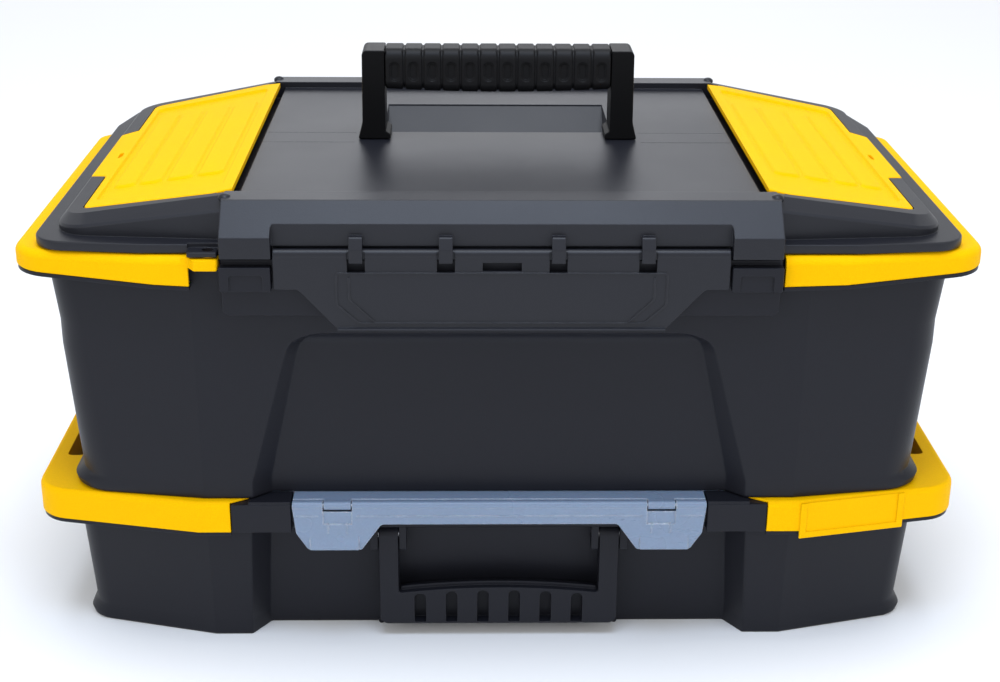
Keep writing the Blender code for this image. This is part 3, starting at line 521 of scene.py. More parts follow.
def lower_tub_rings():
    floor = 0.003
    base_x, base_y = LOWER_BASE
    shape = (0.141, 0.014)

    def upright(z, recess, wall=0.0):
        return tub_ring(z, LOWER_TOP, 0.02, 0.138, recess, wall)

    outside = [
        tub_ring(0.0, (base_x - 0.0012, base_y - 0.0008), 0.0202, *shape),
        tub_ring(0.0012, LOWER_BASE, 0.0202, *shape),
        tub_ring(0.0042, (base_x + 0.001, base_y), 0.0202, *shape),
        tub_ring(0.008, (base_x - 0.0012, base_y), 0.0198, *shape),
        tub_ring(0.011, (base_x - 0.003, base_y + 0.0003), 0.0192, *shape),
        upright(0.066, 0.0163),
        upright(0.0685, 0.015),
        upright(0.0715, 0.002),
        upright(0.073, 0.0),
        upright(LOWER_RIM_Z, 0.0),
    ]
    inside = [
        upright(LOWER_RIM_Z, 0.0, WALL),
        upright(0.0715 + WALL, 0.0, WALL),
        upright(0.069 + WALL, 0.0165, WALL),
        tub_ring(floor + 0.004, (base_x - 0.003, base_y), 0.019, *shape, WALL),
        tub_ring(floor, (base_x - 0.006, base_y - 0.003), 0.019, *shape, WALL),
    ]
    return outside + inside


LOWER_PATHS = (
    side_path(LOWER_HANDLE_FRONT, LOWER_HANDLE_HALF_X, LOWER_SLANT, 0.02),
    side_path(LOWER_TOP[1] + GAP, LOWER_TOP[0] + GAP, 0.0187, 0.0145),
)


def roll(axis, start, end, sides, soft):
    """A latch's roll, between two values of x."""
    y, z, radius = axis
    return rod((start, y, z), (end, y, z), radius, sides, soft)


def carry_bore(side):
    """The hole for one of the carry handle's pivots."""
    middle = (CARRY[0].y + CARRY[1].y) / 2
    return rod(*((side * x, middle, CARRY_PIVOT_Z) for x in (0.05, 0.08)), 0.0027)


def carry_ears():
    ears = []
    for side in SIDES:
        for low, high in ((0.052, 0.0561), (0.0679, 0.0724)):
            corners = [(-0.109, 0.079, 0), (-0.109, 0.0545, 0)]
            corners += [(-0.129, 0.0545, 0.003), (-0.129, 0.079, 0)]
            ears.append(plate(rounded(corners), side * low, side * high, "X", 0.0004))
    return ears


def knuckles(hinge, radius, ranges, soft=0.0006):
    """Rods about a rear hinge axis, the same on both sides: knuckles, or the bores through them."""
    made = []
    for side in SIDES:
        for low, high in ranges:
            ends = [(side * x, *hinge) for x in (low, high)]
            made.append(rod(*ends, radius, 32, soft))
    return made


def lower_tub_piece():
    tub = loft(lower_tub_rings(), 0.0006, 38)
    end_x = LOWER_HANDLE_END_X - GAP
    for facing in SIDES:
        back, face, deep = facing * 0.1325, facing * 0.1414, facing * 0.1385
        for low, high in ((0.1145, end_x), (-end_x, -0.1145)):
            fuse(tub, box((low, back, 0.0735), (high, face, 0.0905), 0.0007))
            if facing < 0:
                inner, outer = sorted((low, high), key=abs)
                reach = outer - math.copysign(0.0095, outer)
                fuse(tub, box((inner, -0.1266, 0.084), (reach, face + 0.0008, 0.0919), 0.0007))
        fuse(tub, box((-0.13, back, 0.0785), (0.13, deep, 0.0865), 0.0006))
    fuse(tub, *carry_ears())
    for side in SIDES:
        fuse(tub, flange(LOWER_PATHS, side, 0.0008, 0.0019, lambda x: LOWER_BAND_Z))
    for side in SIDES:
        for near, far in TUB_KNUCKLES_X:
            fuse(tub, box((side * near, 0.137, 0.08), (side * far, *LOWER_HINGE)))
    fuse(tub, *knuckles(LOWER_HINGE, LOWER_KNUCKLE, TUB_KNUCKLES_X))
    bores = knuckles(LOWER_HINGE, LOWER_BORE, LOWER_BORE_X, 0.0)
    for side, bore in zip(SIDES, bores):
        nub = (side * 0.0676, -0.112, 0.0019)
        fuse(tub, rod(nub, (nub[0], -0.1158, nub[2]), 0.0016, 16))
        low = (side * SLOT[0], -SLOT[2], 0.07)
        cut(tub, box(low, (side * SLOT[1], SLOT[2], 0.075)))
        cut(tub, carry_bore(side), bore)
    return piece("organizer_tub", tub, "organizer", "charcoal_body", CHARCOAL, "lower_tub")


def lower_side_handle_piece(word, side):
    """A yellow side handle with a rounded brow, a finger slot, end ribs and, on the right, a label frame."""
    top = LOWER_HANDLE_TOP_Z
    low = LOWER_BAND_Z + GAP

    def section(out, inn):
        inward = (inn - out).normalized()
        profile = [(0.0004, low), (0.0, low + 0.0005), (0.0, top - 0.004), *brow(top, 0.003, 0.004, 5)]
        span = (inn - out).length
        profile += [(span, top), (span, top - WALL), (WALL, top - WALL - 0.001), (WALL, low)]
        return [(*(out + inward * a), z) for a, z in profile]

    handle = band(*LOWER_PATHS, section, side)
    near, far, reach = SLOT
    bar = (side * (far - 0.001), -reach - 0.004, low)
    fuse(handle, box(bar, (side * (far + 0.0018), reach + 0.004, top - 0.002)))
    for facing in SIDES:
        plan = [(0.137, 0.1336), (0.156, 0.1336), (0.156, 0.1395), (LOWER_HANDLE_END_X - 0.0008, 0.1395)]
        plan = [(side * x, facing * y) for x, y in plan]
        fuse(handle, plate(plan, top - 0.0015, top - 0.0001, "Z", 0.0003))
    slot = front_to_rear([(near, -reach, 0.003), (far, -reach, 0.003)])
    cut(handle, plate(rounded(flipped(slot, side)), 0.07, 0.1))
    if side > 0:
        frame_plate(handle)
    name, node = f"organizer_handle_{word}", f"lower_side_handle_{word}"
    return piece(name, handle, "organizer", "yellow_trim", YELLOW, node)


def front_line(x, out):
    """The slanted front of the right side handle, moved out by a distance, at x."""
    turn_x = LOWER_HANDLE_END_X + HANDLE_TURN
    slope = LOWER_SLANT / (LOWER_HANDLE_HALF_X - turn_x)
    return -LOWER_HANDLE_FRONT - out + slope * max(x - turn_x, 0.0)


def frame_plate(handle):
    """A raised label frame: a plate with a shallow window, which hangs a little below the handle."""
    low_x, high_x = LOWER_HANDLE_END_X + HANDLE_TURN, 0.2265
    low_z, high_z = 0.0698, 0.0912

    def slab(a, b, near, far, z0, z1, soft):
        plan = [(x, front_line(x, out)) for x, out in ((a, near), (b, near), (b, far), (a, far))]
        return plate(plan, z0, z1, "Z", soft)

    fuse(handle, slab(low_x, high_x, 0.001, -0.0003, low_z, high_z, 0.0004))
    cut(handle, slab(low_x + 0.0038, high_x - 0.0038, 0.005, 0.0003, low_z + 0.0036, high_z + 0.01, 0.0))


def clear_lid_piece():
    edge_x, edge_y = LOWER_TOP[0] - 0.0012, LOWER_TOP[1] - 0.0014
    low, high = 0.0888, 0.0921
    quadrant = [(CLEAR_HALF_X, CLEAR_ROLL[0] + CLEAR_ROLL[2] + GAP, 0), (CLEAR_HALF_X, -0.1262, 0)]
    quadrant += [(0.14, -0.1262, 0.001), (0.144, -(edge_y - 0.0015), 0.001)]
    quadrant += [(SLANT_START_X, -(edge_y - 0.0015), 0.004), (edge_x, -(edge_y - 0.021), 0.014)]
    rear = [(x, -max(y, -edge_y), r) for x, y, r in quadrant]
    outline = across(quadrant + list(reversed(rear[1:])))
    lid = plate(rounded(outline), low, high, "Z", 0.0005)
    for side in SIDES:
        fuse(lid, box((side * 0.06, 0.13, low), (side * 0.084, LOWER_HINGE[0], high), 0.0004))
        fuse(lid, roll(CLEAR_ROLL, side * 0.0815, side * 0.0965, 32, 0.0004))
        fuse(lid, box((side * 0.0815, CLEAR_ROLL[0], CLEAR_ROLL[1]), (side * 0.0965, -0.137, high)))
    fuse(lid, *knuckles(LOWER_HINGE, LOWER_KNUCKLE, ((0.06, 0.084),), 0.0004))
    cut(lid, *knuckles(LOWER_HINGE, LOWER_BORE, LOWER_BORE_X, 0.0))
    rim = rounded(four_way([(0.212, -0.104, 0.012)]))
    groove = rounded(four_way([(0.2105, -0.1025, 0.0105)]))
    frame_line = plate(rim, high - 0.0006, high + 0.0002, "Z", 0.0003)
    fuse(lid, cut(frame_line, plate(groove, low, high + 0.001)))
    return piece("organizer_lid_panel", lid, "organizer_lid", "clear_lid", CLEAR, "lower_lid")


def clear_latch_piece():
    """The clear latch: a rolled top, an arch, two ears with finger ramps, and a window round each clip."""
    face, back = -0.1425, -0.1403
    half = [(0.065, 0.079, 0.003), (0.076, 0.0633, 0.0025), (0.1055, 0.0633, 0.003)]
    half += [(0.112, 0.0735, 0.004), (CLEAR_HALF_X, 0.089, 0)]
    latch = plate(rounded(across(half)), face, back, "Y", 0.0005)
    fuse(latch, roll(CLEAR_ROLL, -CLEAR_HALF_X, CLEAR_HALF_X, 48, 0.0004))
    for side in SIDES:
        ramp = [(face + 0.0002, 0.0738), (face - 0.0018, 0.0655)]
        ramp += [(face - 0.0018, 0.064), (face + 0.0004, 0.0636)]
        near, far = sorted((side * 0.0775, side * 0.1045))
        fuse(latch, plate(ramp, near, far, "X", 0.0006))
        cut(latch, box((side * 0.081, -0.144, 0.0866), (side * 0.097, -0.136, 0.094)))
        cut(latch, box((side * 0.0812, face - 0.001, 0.0792), (side * 0.0968, face + 0.0007, 0.087)))
        for a, b in ((0.0835, 0.0842), (0.0938, 0.0945)):
            fuse(latch, box((side * a, face - 0.0003, 0.0735), (side * b, face + 0.001, 0.0797)))
        fuse(latch, box((side * 0.0995, face - 0.00025, 0.0838), (side * 0.1115, face + 0.001, 0.0846)))
    fuse(latch, box((-0.0785, face - 0.00025, 0.0838), (0.0785, face + 0.001, 0.0846)))
    return piece("organizer_latch_plate", latch, "organizer_latch", "clear_lid", CLEAR, "lower_latch")


def bow_z(x):
    """The bowed top of the carry handle's bar."""
    return 0.0322 - 0.0034 * (x / CARRY_INNER_X) ** 2


def carry_handle_piece():
    half_x, top_z = CARRY[1].x, CARRY_PIVOT_Z
    front, rear, foot = CARRY[0].y, CARRY[1].y, CARRY[0].z
    inner_x = CARRY_INNER_X
    bow = [(x, bow_z(x), 0) for x in (i * inner_x / 8 for i in range(-8, 9))]
    corners = [(-half_x, foot, 0.005), (half_x, foot, 0.005), (half_x, top_z, 0), (inner_x, top_z, 0)]
    corners += [*reversed(bow), (-inner_x, top_z, 0), (-half_x, top_z, 0)]
    handle = plate(rounded(corners), front, rear, "Y", 0.001)
    middle, radius = (front + rear) / 2, (rear - front) / 2
    for side in SIDES:
        ends = [(side * x, middle, top_z) for x in (inner_x, half_x)]
        fuse(handle, rod(*ends, radius, 48, 0.0008))
        cut(handle, carry_bore(side))
    lip = [(x, bow_z(x)) for x in (i * (inner_x - 0.001) / 8 for i in range(-8, 9))]
    lip += [(x, z + 0.0032) for x, z in reversed(lip)]
    fuse(handle, plate([(x, z - 0.001) for x, z in lip], front + 0.0035, front + 0.005, "Y", 0.0005))
    for i in range(6):
        x = (i - 2.5) * 0.0178
        top = bow_z(x) - 0.0017
        corners = [(x - 0.0033, 0.0098, 0.0008), (x + 0.0033, 0.0098, 0.0008)]
        corners += [(x + 0.0033, top, 0.0031), (x - 0.0033, top, 0.0031)]
        cut(handle, plate(rounded(corners), front - 0.001, front + 0.007, "Y"))
    return piece(
        "folding_carry_handle", handle, "folding_handle", "charcoal_handle", CHARCOAL, "carry_handle"
    )


# Tool box


def upper_tub_rings():
    low = UPPER_BASE
    deep = (0.0115, 0.1355, 0.0085, 0.01)
    mid = (0.2372, 0.1386)
    foot_x = UPPER_FOOT_HALF_X
    base = (
        (0.0, foot_x - 0.003, low[1] - 0.0008),
        (0.0014, foot_x - 0.001, low[1]),
        (0.0045, foot_x, low[1]),
        (0.0072, low[0] + 0.0022, low[1]),
        (0.0095, *low),
    )
    recess_end = (
        (-0.008, 0.115, 0.0068, 0.0066),
        (-0.003, 0.1132, 0.0066, 0.0064),
        (0.0002, 0.1108, 0.006, 0.0064),
        (0.0026, 0.107, 0.0042, 0.0056),
        (0.0046, 0.102, 0.0018, 0.004),
        (0.0058, 0.097, 0.0, 0.003),
    )

    def section(z, half, slant, recess_x, recess, bevel, corner=0.023, wall=0.0):
        return tub_ring(z, half, slant, recess_x, recess, wall, corner, bevel)

    outside = [
        *(section(UPPER_Z + up, half, *deep) for up, *half in base),
        *(section(RECESS_TOP_Z + up, mid, 0.0125, *shape, 0.019) for up, *shape in recess_end),
        section(UPPER_RIM_Z, UPPER_TOP, 0.0125, 0.097, 0.0, 0.003, 0.0145),
    ]
    inside = [
        section(UPPER_RIM_Z, UPPER_TOP, 0.0125, 0.097, 0.0, 0.003, 0.0145, WALL),
        section(RECESS_TOP_Z + 0.011 + WALL, mid, 0.0125, 0.097, 0.0, 0.003, 0.019, WALL),
        section(RECESS_TOP_Z + WALL, mid, 0.0125, 0.11, 0.0065, 0.0064, 0.019, WALL),
        section(UPPER_Z + 0.007, low, *deep, 0.023, WALL),
        section(UPPER_Z + 0.003, (low[0] - 0.003, low[1] - 0.003), *deep, 0.023, WALL),
    ]
    return outside + inside


def rim_path(end_x, front, half_x, slant, corner, turn):
    """The plan line of an upper side handle, from its front end to its rounded rear end."""
    turn_x, rear_y = UPPER_HANDLE_END_X + HANDLE_TURN, UPPER_HANDLE_REAR_Y
    corners = [(end_x, -front, 0), (turn_x, -front, 0), (half_x, -(front - slant), corner)]
    return rounded(corners + [(half_x, rear_y - 0.006, 0.005), (half_x - turn, rear_y, 0)])


def rim_paths(side):
    """The outer and the inner plan line. The left handle stops short to clear the padlock eye."""
    end_x = UPPER_HANDLE_END_X if side < 0 else UPPER_HANDLE_RIGHT_X
    outer = rim_path(end_x, UPPER_HANDLE_FRONT, UPPER_HANDLE_HALF_X, 0.012, 0.02, 0.005)
    inner = rim_path(end_x, UPPER_TOP[1] + GAP, UPPER_TOP[0] + GAP, 0.012, 0.0145, 0.0)
    return outer, inner


def upper_band_z(x):
    """The underside of an upper side handle, which rises from its ends towards the side."""
    share = (abs(x) - UPPER_HANDLE_END_X) / (UPPER_HANDLE_HALF_X - UPPER_HANDLE_END_X)
    return 0.2197 + 0.0053 * min(max(share, 0.0), 1.0)


def upper_tub_piece():
    tub = loft(upper_tub_rings(), 0.0006, 40)
    fuse(tub, *(flange(rim_paths(side), side, 0.0006, 0.002, upper_band_z) for side in SIDES))
    for facing in SIDES:
        outline = across([(-0.1445, 0.2352, 0), (-0.1445, 0.204, 0.004)])
        fuse(tub, plate(rounded(outline), facing * 0.1375, facing * 0.1485, "Y", 0.0012))
    for side in SIDES:
        far = side * (SHOULDER_OUT_X + 0.001)
        fuse(tub, box((side * SHOULDER_IN_X, -0.154, 0.219), (far, -0.138, 0.2325), 0.0009))
        corners = [(0.1222, 0.215, 0), (0.1395, 0.215, 0)]
        corners += [(0.1395, 0.2282, 0.0015), (0.1222, 0.2282, 0.0015)]
        cut(tub, plate(rounded(flipped(corners, side)), -0.156, -0.1528, "Y"))
        cut(tub, box((side * 0.062, 0.14, 0.2335), (side * 0.088, 0.15, 0.24)))
        for near, far in UPPER_KNUCKLES_X:
            fuse(tub, box((side * near, 0.1452, 0.23), (side * far, *LID_HINGE), 0.0004))
        fuse(tub, box((side * 0.2215, -0.05, 0.164), (side * 0.2355, 0.05, 0.1745), 0.0008))
    fuse(tub, *knuckles(LID_HINGE, UPPER_KNUCKLE, UPPER_KNUCKLES_X))
    cut(tub, *knuckles(LID_HINGE, UPPER_BORE, UPPER_BORE_X, 0.0))
    return piece("tool_box_tub", tub, "tool_box", "charcoal_body", CHARCOAL, "upper_tub")


def padlock_bore(low, high):
    x, y, radius = PADLOCK
    return rod((x, y, low), (x, y, high), radius)


def upper_side_handle_piece(word, side):
    top = UPPER_HANDLE_TOP_Z

    def section(out, inn):
        low = upper_band_z(out.x) + GAP
        inward = (inn - out).normalized()
        profile = [(0.0005, low), (0.0, low + 0.0006), (0.0, top - 0.0045), *brow(top, 0.0045, 0.0045, 6)]
        span = (inn - out).length
        profile += [(span, top), (span, top - WALL), (0.0045, top - WALL)]
        profile += [(WALL, top - WALL - 0.003), (WALL, low)]
        return [(*(out + inward * a), z) for a, z in profile]

    handle = band(*rim_paths(side), section, side)
    if side < 0:
        lug = [(-0.164, -0.142, 0), (-0.164, -0.1479, 0)]
        lug += [(-0.1602, -0.1481, 0.002), (-0.1572, -0.1529, 0.002)]
        lug += [(-0.145, -0.1529, 0.0015), (-0.145, -0.1402, 0)]
        fuse(handle, plate(rounded(lug), 0.23, top - 0.0002, "Z", 0.0006))
        cut(handle, padlock_bore(0.225, 0.24))
    name, node = f"tool_box_handle_{word}", f"upper_side_handle_{word}"
    return piece(name, handle, "tool_box", "yellow_trim", YELLOW, node)


# Lid


def roof_z(x, y=0.0):
    """The lid's side slope, which starts level with the middle and falls towards each side."""
    return BEAM_Z - ROOF_SLOPE * (abs(x) - ROOF_START_X)


def wall_z(x, y=0.0):
    """The top edge of the mound's upright wall."""
    return 0.2567 - 0.14 * (abs(x) - 0.152)


def lowered(height, drop):
    return lambda x, y: height(x, y) - drop


def skirt_outline(inset=0.0):
    side_x, near_y = 0.2425 - inset, 0.1446 - inset
    right = [(0.185, -near_y, 0.02), (side_x, -(0.139 - inset), 0.018 - inset)]
    right += [(side_x, 0.095, 0.01), (0.2345 - inset, 0.136 - inset, 0.012 - inset)]
    right += [(0.185, near_y, 0.02)]
    return rounded(across(right))


def d_outline(side, start_x, near_y, far_x, far_y, corner):
    half = [(start_x, -near_y, 0), (far_x, -far_y, corner)]
    return rounded(flipped(front_to_rear(half), side))


def mound(side):
    foot = d_outline(side, 0.14, 0.1372, 0.2328, 0.13, 0.02)
    crest = d_outline(side, 0.14, 0.1362, 0.2322, 0.1288, 0.019)
    top = d_outline(side, 0.14, 0.129, 0.229, 0.118, 0.014)
    rings = [ring(foot, 0.24), ring(foot, lowered(wall_z, 0.0012)), ring(crest, wall_z), ring(top, roof_z)]
    return loft(rings, 0.0018, 14)


def mound_hollow(side):
    foot = d_outline(side, 0.15, 0.1343, 0.23, 0.1262, 0.018)
    top = d_outline(side, 0.15, 0.1265, 0.2255, 0.1125, 0.012)
    rings = [ring(foot, 0.235), ring(foot, lowered(wall_z, 0.003)), ring(top, lowered(roof_z, 0.006))]
    return loft(rings)


def cover_outline(side, grow, inner_x=0.14):
    half = [(inner_x, -(0.1195 + grow), 0), (0.15, -(0.1222 + grow), 0.003)]
    half += [(0.2205 + grow, -(0.1105 + grow), 0.005), (0.2205 + grow, -(0.05 + grow), 0.001)]
    half += [(0.23 + grow, -(0.0445 + grow), 0.002)]
    return rounded(flipped(front_to_rear(half), side), 5)


def sloped(outline, low, high):
    """A panel that follows the roof, from low to high above it."""
    return loft([ring(outline, lowered(roof_z, -z)) for z in (low, high)])


def well_outline(side, wall=0.0):
    half = [(0.1525 - wall, -(0.099 + wall), 0.004), (0.213 + wall, -(0.099 + wall), 0.004)]
    return rounded(flipped(front_to_rear(half), side), 4)


def cross_profile(edge_y, top_z, face_y, face_z, foot_z, soft=0.0):
    half = [(-edge_y, top_z, soft), (-face_y, face_z, soft), (-face_y, foot_z, 0)]
    return rounded(across(half), 4)


def cover_rod(side, half_y, radius, *shape):
    """A rod about a cover's hinge axis."""
    pivot_x, pivot_z = COVER_PIVOT
    return rod(*((side * pivot_x, y, pivot_z) for y in (-half_y, half_y)), radius, *shape)


def lid_body():
    middle = cross_profile(BEAM_Y, BEAM_Z, SHOULDER_Y, 0.2484, 0.2372, 0.0012)
    lid = plate(middle, -SHOULDER_OUT_X, SHOULDER_OUT_X, "X", 0.0006)
    fuse(lid, plate(skirt_outline(), SKIRT_Z, LEDGE_Z, "Z", 0.001))
    fuse(lid, *(mound(side) for side in SIDES))
    for facing in SIDES:
        notch = [(SHOULDER_IN_X - GAP, 0.23, 0), (SHOULDER_IN_X - GAP, 0.2548, 0.003)]
        cut(lid, plate(rounded(across(notch)), facing * LID_FRONT_Y, facing * (SHOULDER_Y + 0.01), "Y"))
    cut(lid, plate(skirt_outline(WALL), SKIRT_Z - 0.001, 0.2397))
    inside = cross_profile(BEAM_Y - 0.0025, PANEL_Z - WALL, 0.1465, 0.2475, 0.245)
    cut(lid, plate(inside, -0.1345, 0.1345, "X"))
    cut(lid, box((-0.1345, -0.1422, 0.235), (0.1345, 0.1422, 0.2455)))
    for side in SIDES:
        cut(lid, mound_hollow(side))
        cut(lid, box((side * 0.133, -0.1345, 0.235), (side * 0.152, 0.1345, 0.2508)))
    for facing in SIDES:
        low = (-SHOULDER_IN_X + GAP, facing * 0.1449, 0.23)
        cut(lid, box(low, (SHOULDER_IN_X - GAP, facing * 0.152, 0.2426)))
    return lid


def lid_piece():
    lid = baked(lid_body())
    half_x, near_y, far_y, floor_z = POCKET
    skin = 0.0022
    shell = across([(half_x + skin, near_y - skin, 0.002), (half_x + skin, far_y + skin, 0.004)])
    fuse(lid, plate(rounded(shell), floor_z - skin, 0.259))
    for side in SIDES:
        outside = well_outline(side, 0.002)
        fuse(lid, loft([ring(outside, WELL_FLOOR_Z - 0.002), ring(outside, lowered(roof_z, 0.0045))]))
    scoop = [(near_y, OVER_LID_Z), (near_y, floor_z), (far_y - 0.024, floor_z)]
    scoop += [(far_y, PANEL_Z - 0.001), (far_y, OVER_LID_Z)]
    cut(lid, plate(scoop, -half_x, half_x, "X"))
    cut(lid, box((-PANEL[0], -PANEL[1], PANEL_Z), (PANEL[0], PANEL[1], OVER_LID_Z)))
    for side in SIDES:
        cut(lid, sloped(cover_outline(side, GAP, 0.138), -COVER_THICK - 0.0006, 0.01))
        channel = (side * (PANEL[0] - 0.0002), -PANEL[1], 0.2534)
        cut(lid, box(channel, (side * 0.1478, PANEL[1], OVER_LID_Z)))
        cut(lid, loft([ring(well_outline(side), z) for z in (WELL_FLOOR_Z, OVER_LID_Z)]))
        cut(lid, cover_rod(side, 0.13, 0.0016))
        cut(lid, box((side * 0.0711, -0.0006, 0.25), (side * 0.0769, 0.0126, 0.27)))
        cut(lid, box((side * 0.053, 0.145, 0.24), (side * 0.097, 0.152, 0.2454)))
        fuse(lid, box((side * 0.063, 0.1466, 0.2395), (side * 0.087, 0.1504, 0.25), 0.0003))
    fuse(lid, *knuckles(LID_HINGE, UPPER_KNUCKLE, ((0.063, 0.087),)))
    cut(lid, *knuckles(LID_HINGE, UPPER_BORE, UPPER_BORE_X, 0.0))
    fuse(lid, *(latch_clip(x) for x in CLIP_XS))
    eye = [(-0.1608, -0.14, 0), (-0.1608, -0.151, 0.002)]
    eye += [(-0.1452, -0.151, 0.0008), (-0.1452, -0.14, 0)]
    fuse(lid, plate(rounded(eye), SKIRT_Z, 0.2396, "Z", 0.0006))
    cut(lid, box((-0.1608, -0.156, 0.2396), (-SHOULDER_OUT_X - 0.0002, -0.1424, 0.245)))
    cut(lid, padlock_bore(0.23, 0.25))
    for side in SIDES:
        for facing in SIDES:
            fuse(lid, dome((side * 0.1422, facing * 0.133, BEAM_Z - 0.0008), 0.0034, 0.0024))
    for y in (-0.0118, 0.0098):
        for low, high in ((-PANEL[0], -0.083), (0.083, PANEL[0])):
            corner = (low + 0.0005, y - 0.0002, PANEL_Z - 0.0002)
            cut(lid, box(corner, (high - 0.0005, y + 0.0002, PANEL_Z + 0.0003)))
    return piece("tool_box_lid_shell", lid, "tool_box_lid", "charcoal_lid", LID_PLASTIC, "upper_lid")


def dome(foot, radius, height):
    """A low round cap."""
    bm = bmesh.new()
    place = Matrix.Translation(foot) @ Matrix.Diagonal((radius, radius, height, 1.0))
    bmesh.ops.create_uvsphere(bm, u_segments=24, v_segments=12, radius=1.0, matrix=place)
    return from_bmesh(bm)


def latch_clip(x):
    """A hook on the lid that holds the front latch's roll."""
    corners = [(-0.1475, 0.2484, 0), (-0.1525, 0.2484, 0.0015), (-0.1556, 0.2425, 0.002)]
    corners += [(-0.1556, 0.2352, 0.0006), (-0.1541, 0.2352, 0.0004), (-0.1541, 0.2426, 0.0004)]
    corners += [(-0.1475, 0.2432, 0)]
    return plate(rounded(corners, 4), x - 0.0035, x + 0.0035, "X", 0.0009)


def front_latch_piece():
    """The wide front latch: a roll along its top, windows round the hooks, and an embossed empty frame."""
    face, back = -0.1535, -0.1505
    half_x = LATCH[1].x
    half = [(half_x, 0.2388, 0), (half_x, 0.2204, 0.0015), (0.1045, 0.2204, 0.004), (0.0838, 0.1978, 0.003)]
    latch = plate(rounded(across(half)), face, back, "Y", 0.0005)
    fuse(latch, roll(LATCH_ROLL, -half_x, half_x, 48, 0.0006))
    lip = [(-0.1521, 0.2001, 0), (-0.1534, 0.2001, 0), (-0.1552, 0.1994, 0.0005)]
    lip += [(-0.1552, 0.1982, 0.0005), (-0.1521, 0.1982, 0)]
    fuse(latch, plate(rounded(lip, 3), -0.0846, 0.0846, "X"))
    for x in CLIP_XS:
        for low_z, rear_y, high_z in ((0.2296, -0.15, 0.2368), (0.235, -0.153, 0.242)):
            cut(latch, box((x - 0.0046, -0.156, low_z), (x + 0.0046, rear_y, high_z)))
    cut(latch, box((-0.01, -0.156, 0.2304), (0.01, -0.15, 0.2352)))
    big = [(0.0851, 0.23, 0.002), (0.0851, 0.2125, 0.004), (0.0741, 0.2022, 0.003)]
    small = [(0.0787, 0.2272, 0.0), (0.0787, 0.2155, 0.003), (0.0659, 0.203, 0.0)]
    fuse(latch, raised_outline(big, face))
    for side in SIDES:
        fuse(latch, raised_line(flipped(small, side), face, side))
    return piece("tool_box_latch_plate", latch, "tool_box_latch", "charcoal_lid", LID_PLASTIC, "front_latch")


def raised_outline(half, face):
    """A thin raised closed line on the latch's face, mirrored left and right."""
    outer = rounded(across(half))
    middle_z = (half[0][1] + half[-1][1]) / 2
    inner = [(x * (1 - LINE_WIDE / abs(half[0][0])), middle_z + (z - middle_z) * 0.955) for x, z in outer]
    raised = plate(outer, face - LINE_PROUD, face + 0.0008, "Y")
    return cut(raised, plate(inner, face - 0.01, face + 0.01, "Y"))


def raised_line(corners, face, side):
    """A thin raised open line through the corners."""
    inner = [(x - side * LINE_WIDE, z, r) for x, z, r in reversed(corners)]
    return plate(rounded(corners + inner), face - LINE_PROUD, face + 0.0008, "Y")


def cover_piece(word, side):
    """A yellow cover: a rounded rim round a shallow tray, four raised ribs in it, and a slotted tab."""
    layers = [(-0.0006, -COVER_THICK), (-0.0001, 0.0006 - COVER_THICK), (-0.0001, -0.0006)]
    layers += [(-0.0004, 0.0), (-0.0011, 0.0003)]
    cover = loft([ring(cover_outline(side, grow), lowered(roof_z, -high)) for grow, high in layers])
    fuse(cover, cover_rod(side, 0.118, 0.0026, 24, 0.0004))
    tray = front_to_rear([(0.1475, -0.109, 0.004), (0.215, -0.0985, 0.004)])
    wide = front_to_rear([(0.1462, -0.1103, 0.004), (0.2163, -0.0998, 0.004)])
    sides = ((tray, 0.0012), (wide, -0.0008), (wide, -0.01))
    cut(cover, loft([ring(rounded(flipped(plan, side), 5), lowered(roof_z, drop)) for plan, drop in sides]))
    edges = (0.1505, 0.164, 0.168, 0.181, 0.185, 0.1965, 0.2, 0.2105)
    for low, high in zip(edges[::2], edges[1::2]):
        near = 0.08 - (low - 0.15) * 0.06
        rings = []
        for drop, grow in ((0.002, 0.0012), (0.0013, 0.0012), (0.0003, 0.0002), (-0.0002, -0.0006)):
            rib = [(low - grow, -near - grow, 0.004), (high + grow, -near + 0.0015 - grow, 0.004)]
            rib += [(high + grow, 0.078 + grow, 0.003), (low - grow, 0.08 + grow, 0.003)]
            rings.append(ring(rounded(flipped(rib, side), 6), lowered(roof_z, drop)))
        fuse(cover, loft(rings))
    slot = [(0.2188, -0.0135, 0.001), (0.2212, -0.0135, 0.001)]
    slot += [(0.2212, -0.0035, 0.001), (0.2188, -0.0035, 0.001)]
    cut(cover, sloped(rounded(flipped(slot, side), 3), -0.0014, 0.01))
    cut(cover, cover_rod(side, 0.13, 0.0016))
    name, node = f"compartment_cover_{word}", f"compartment_lid_{word}"
    return piece(name, cover, name, "yellow_cover", YELLOW, node)


# Top handle


def top_handle_piece():
    front, rear = TOP_HANDLE[0].y, TOP_HANDLE[1].y
    foot_z = PANEL_Z + GAP
    top_z = GRIP[1].z - 0.0006
    inner = GRIP[1].x + GAP
    handle = box((-inner - 0.002, 0.0004, 0.296), (inner + 0.002, 0.011, 0.3078))
    foot_x = TOP_HANDLE[1].x
    corners = [(foot_x, foot_z, 0), (foot_x - 0.0003, foot_z + 0.0018, 0.0008)]
    corners += [(0.0789, foot_z + 0.01, 0.01), (0.0785, top_z, 0.003), (inner, top_z, 0)]
    corners += [(inner, foot_z + 0.0048, 0.0015), (inner - 0.0028, foot_z + 0.003, 0.0008)]
    corners += [(inner - 0.0028, foot_z, 0)]
    for side in SIDES:
        fuse(handle, plate(rounded(flipped(corners, side), 6), front, rear, "Y", 0.001))
        fuse(handle, box((side * 0.0715, 0.0, 0.2535), (side * 0.0765, 0.012, 0.27)))
    return piece("top_handle_posts", handle, "tool_box_lid", "black_handle", BLACK, "top_handle")


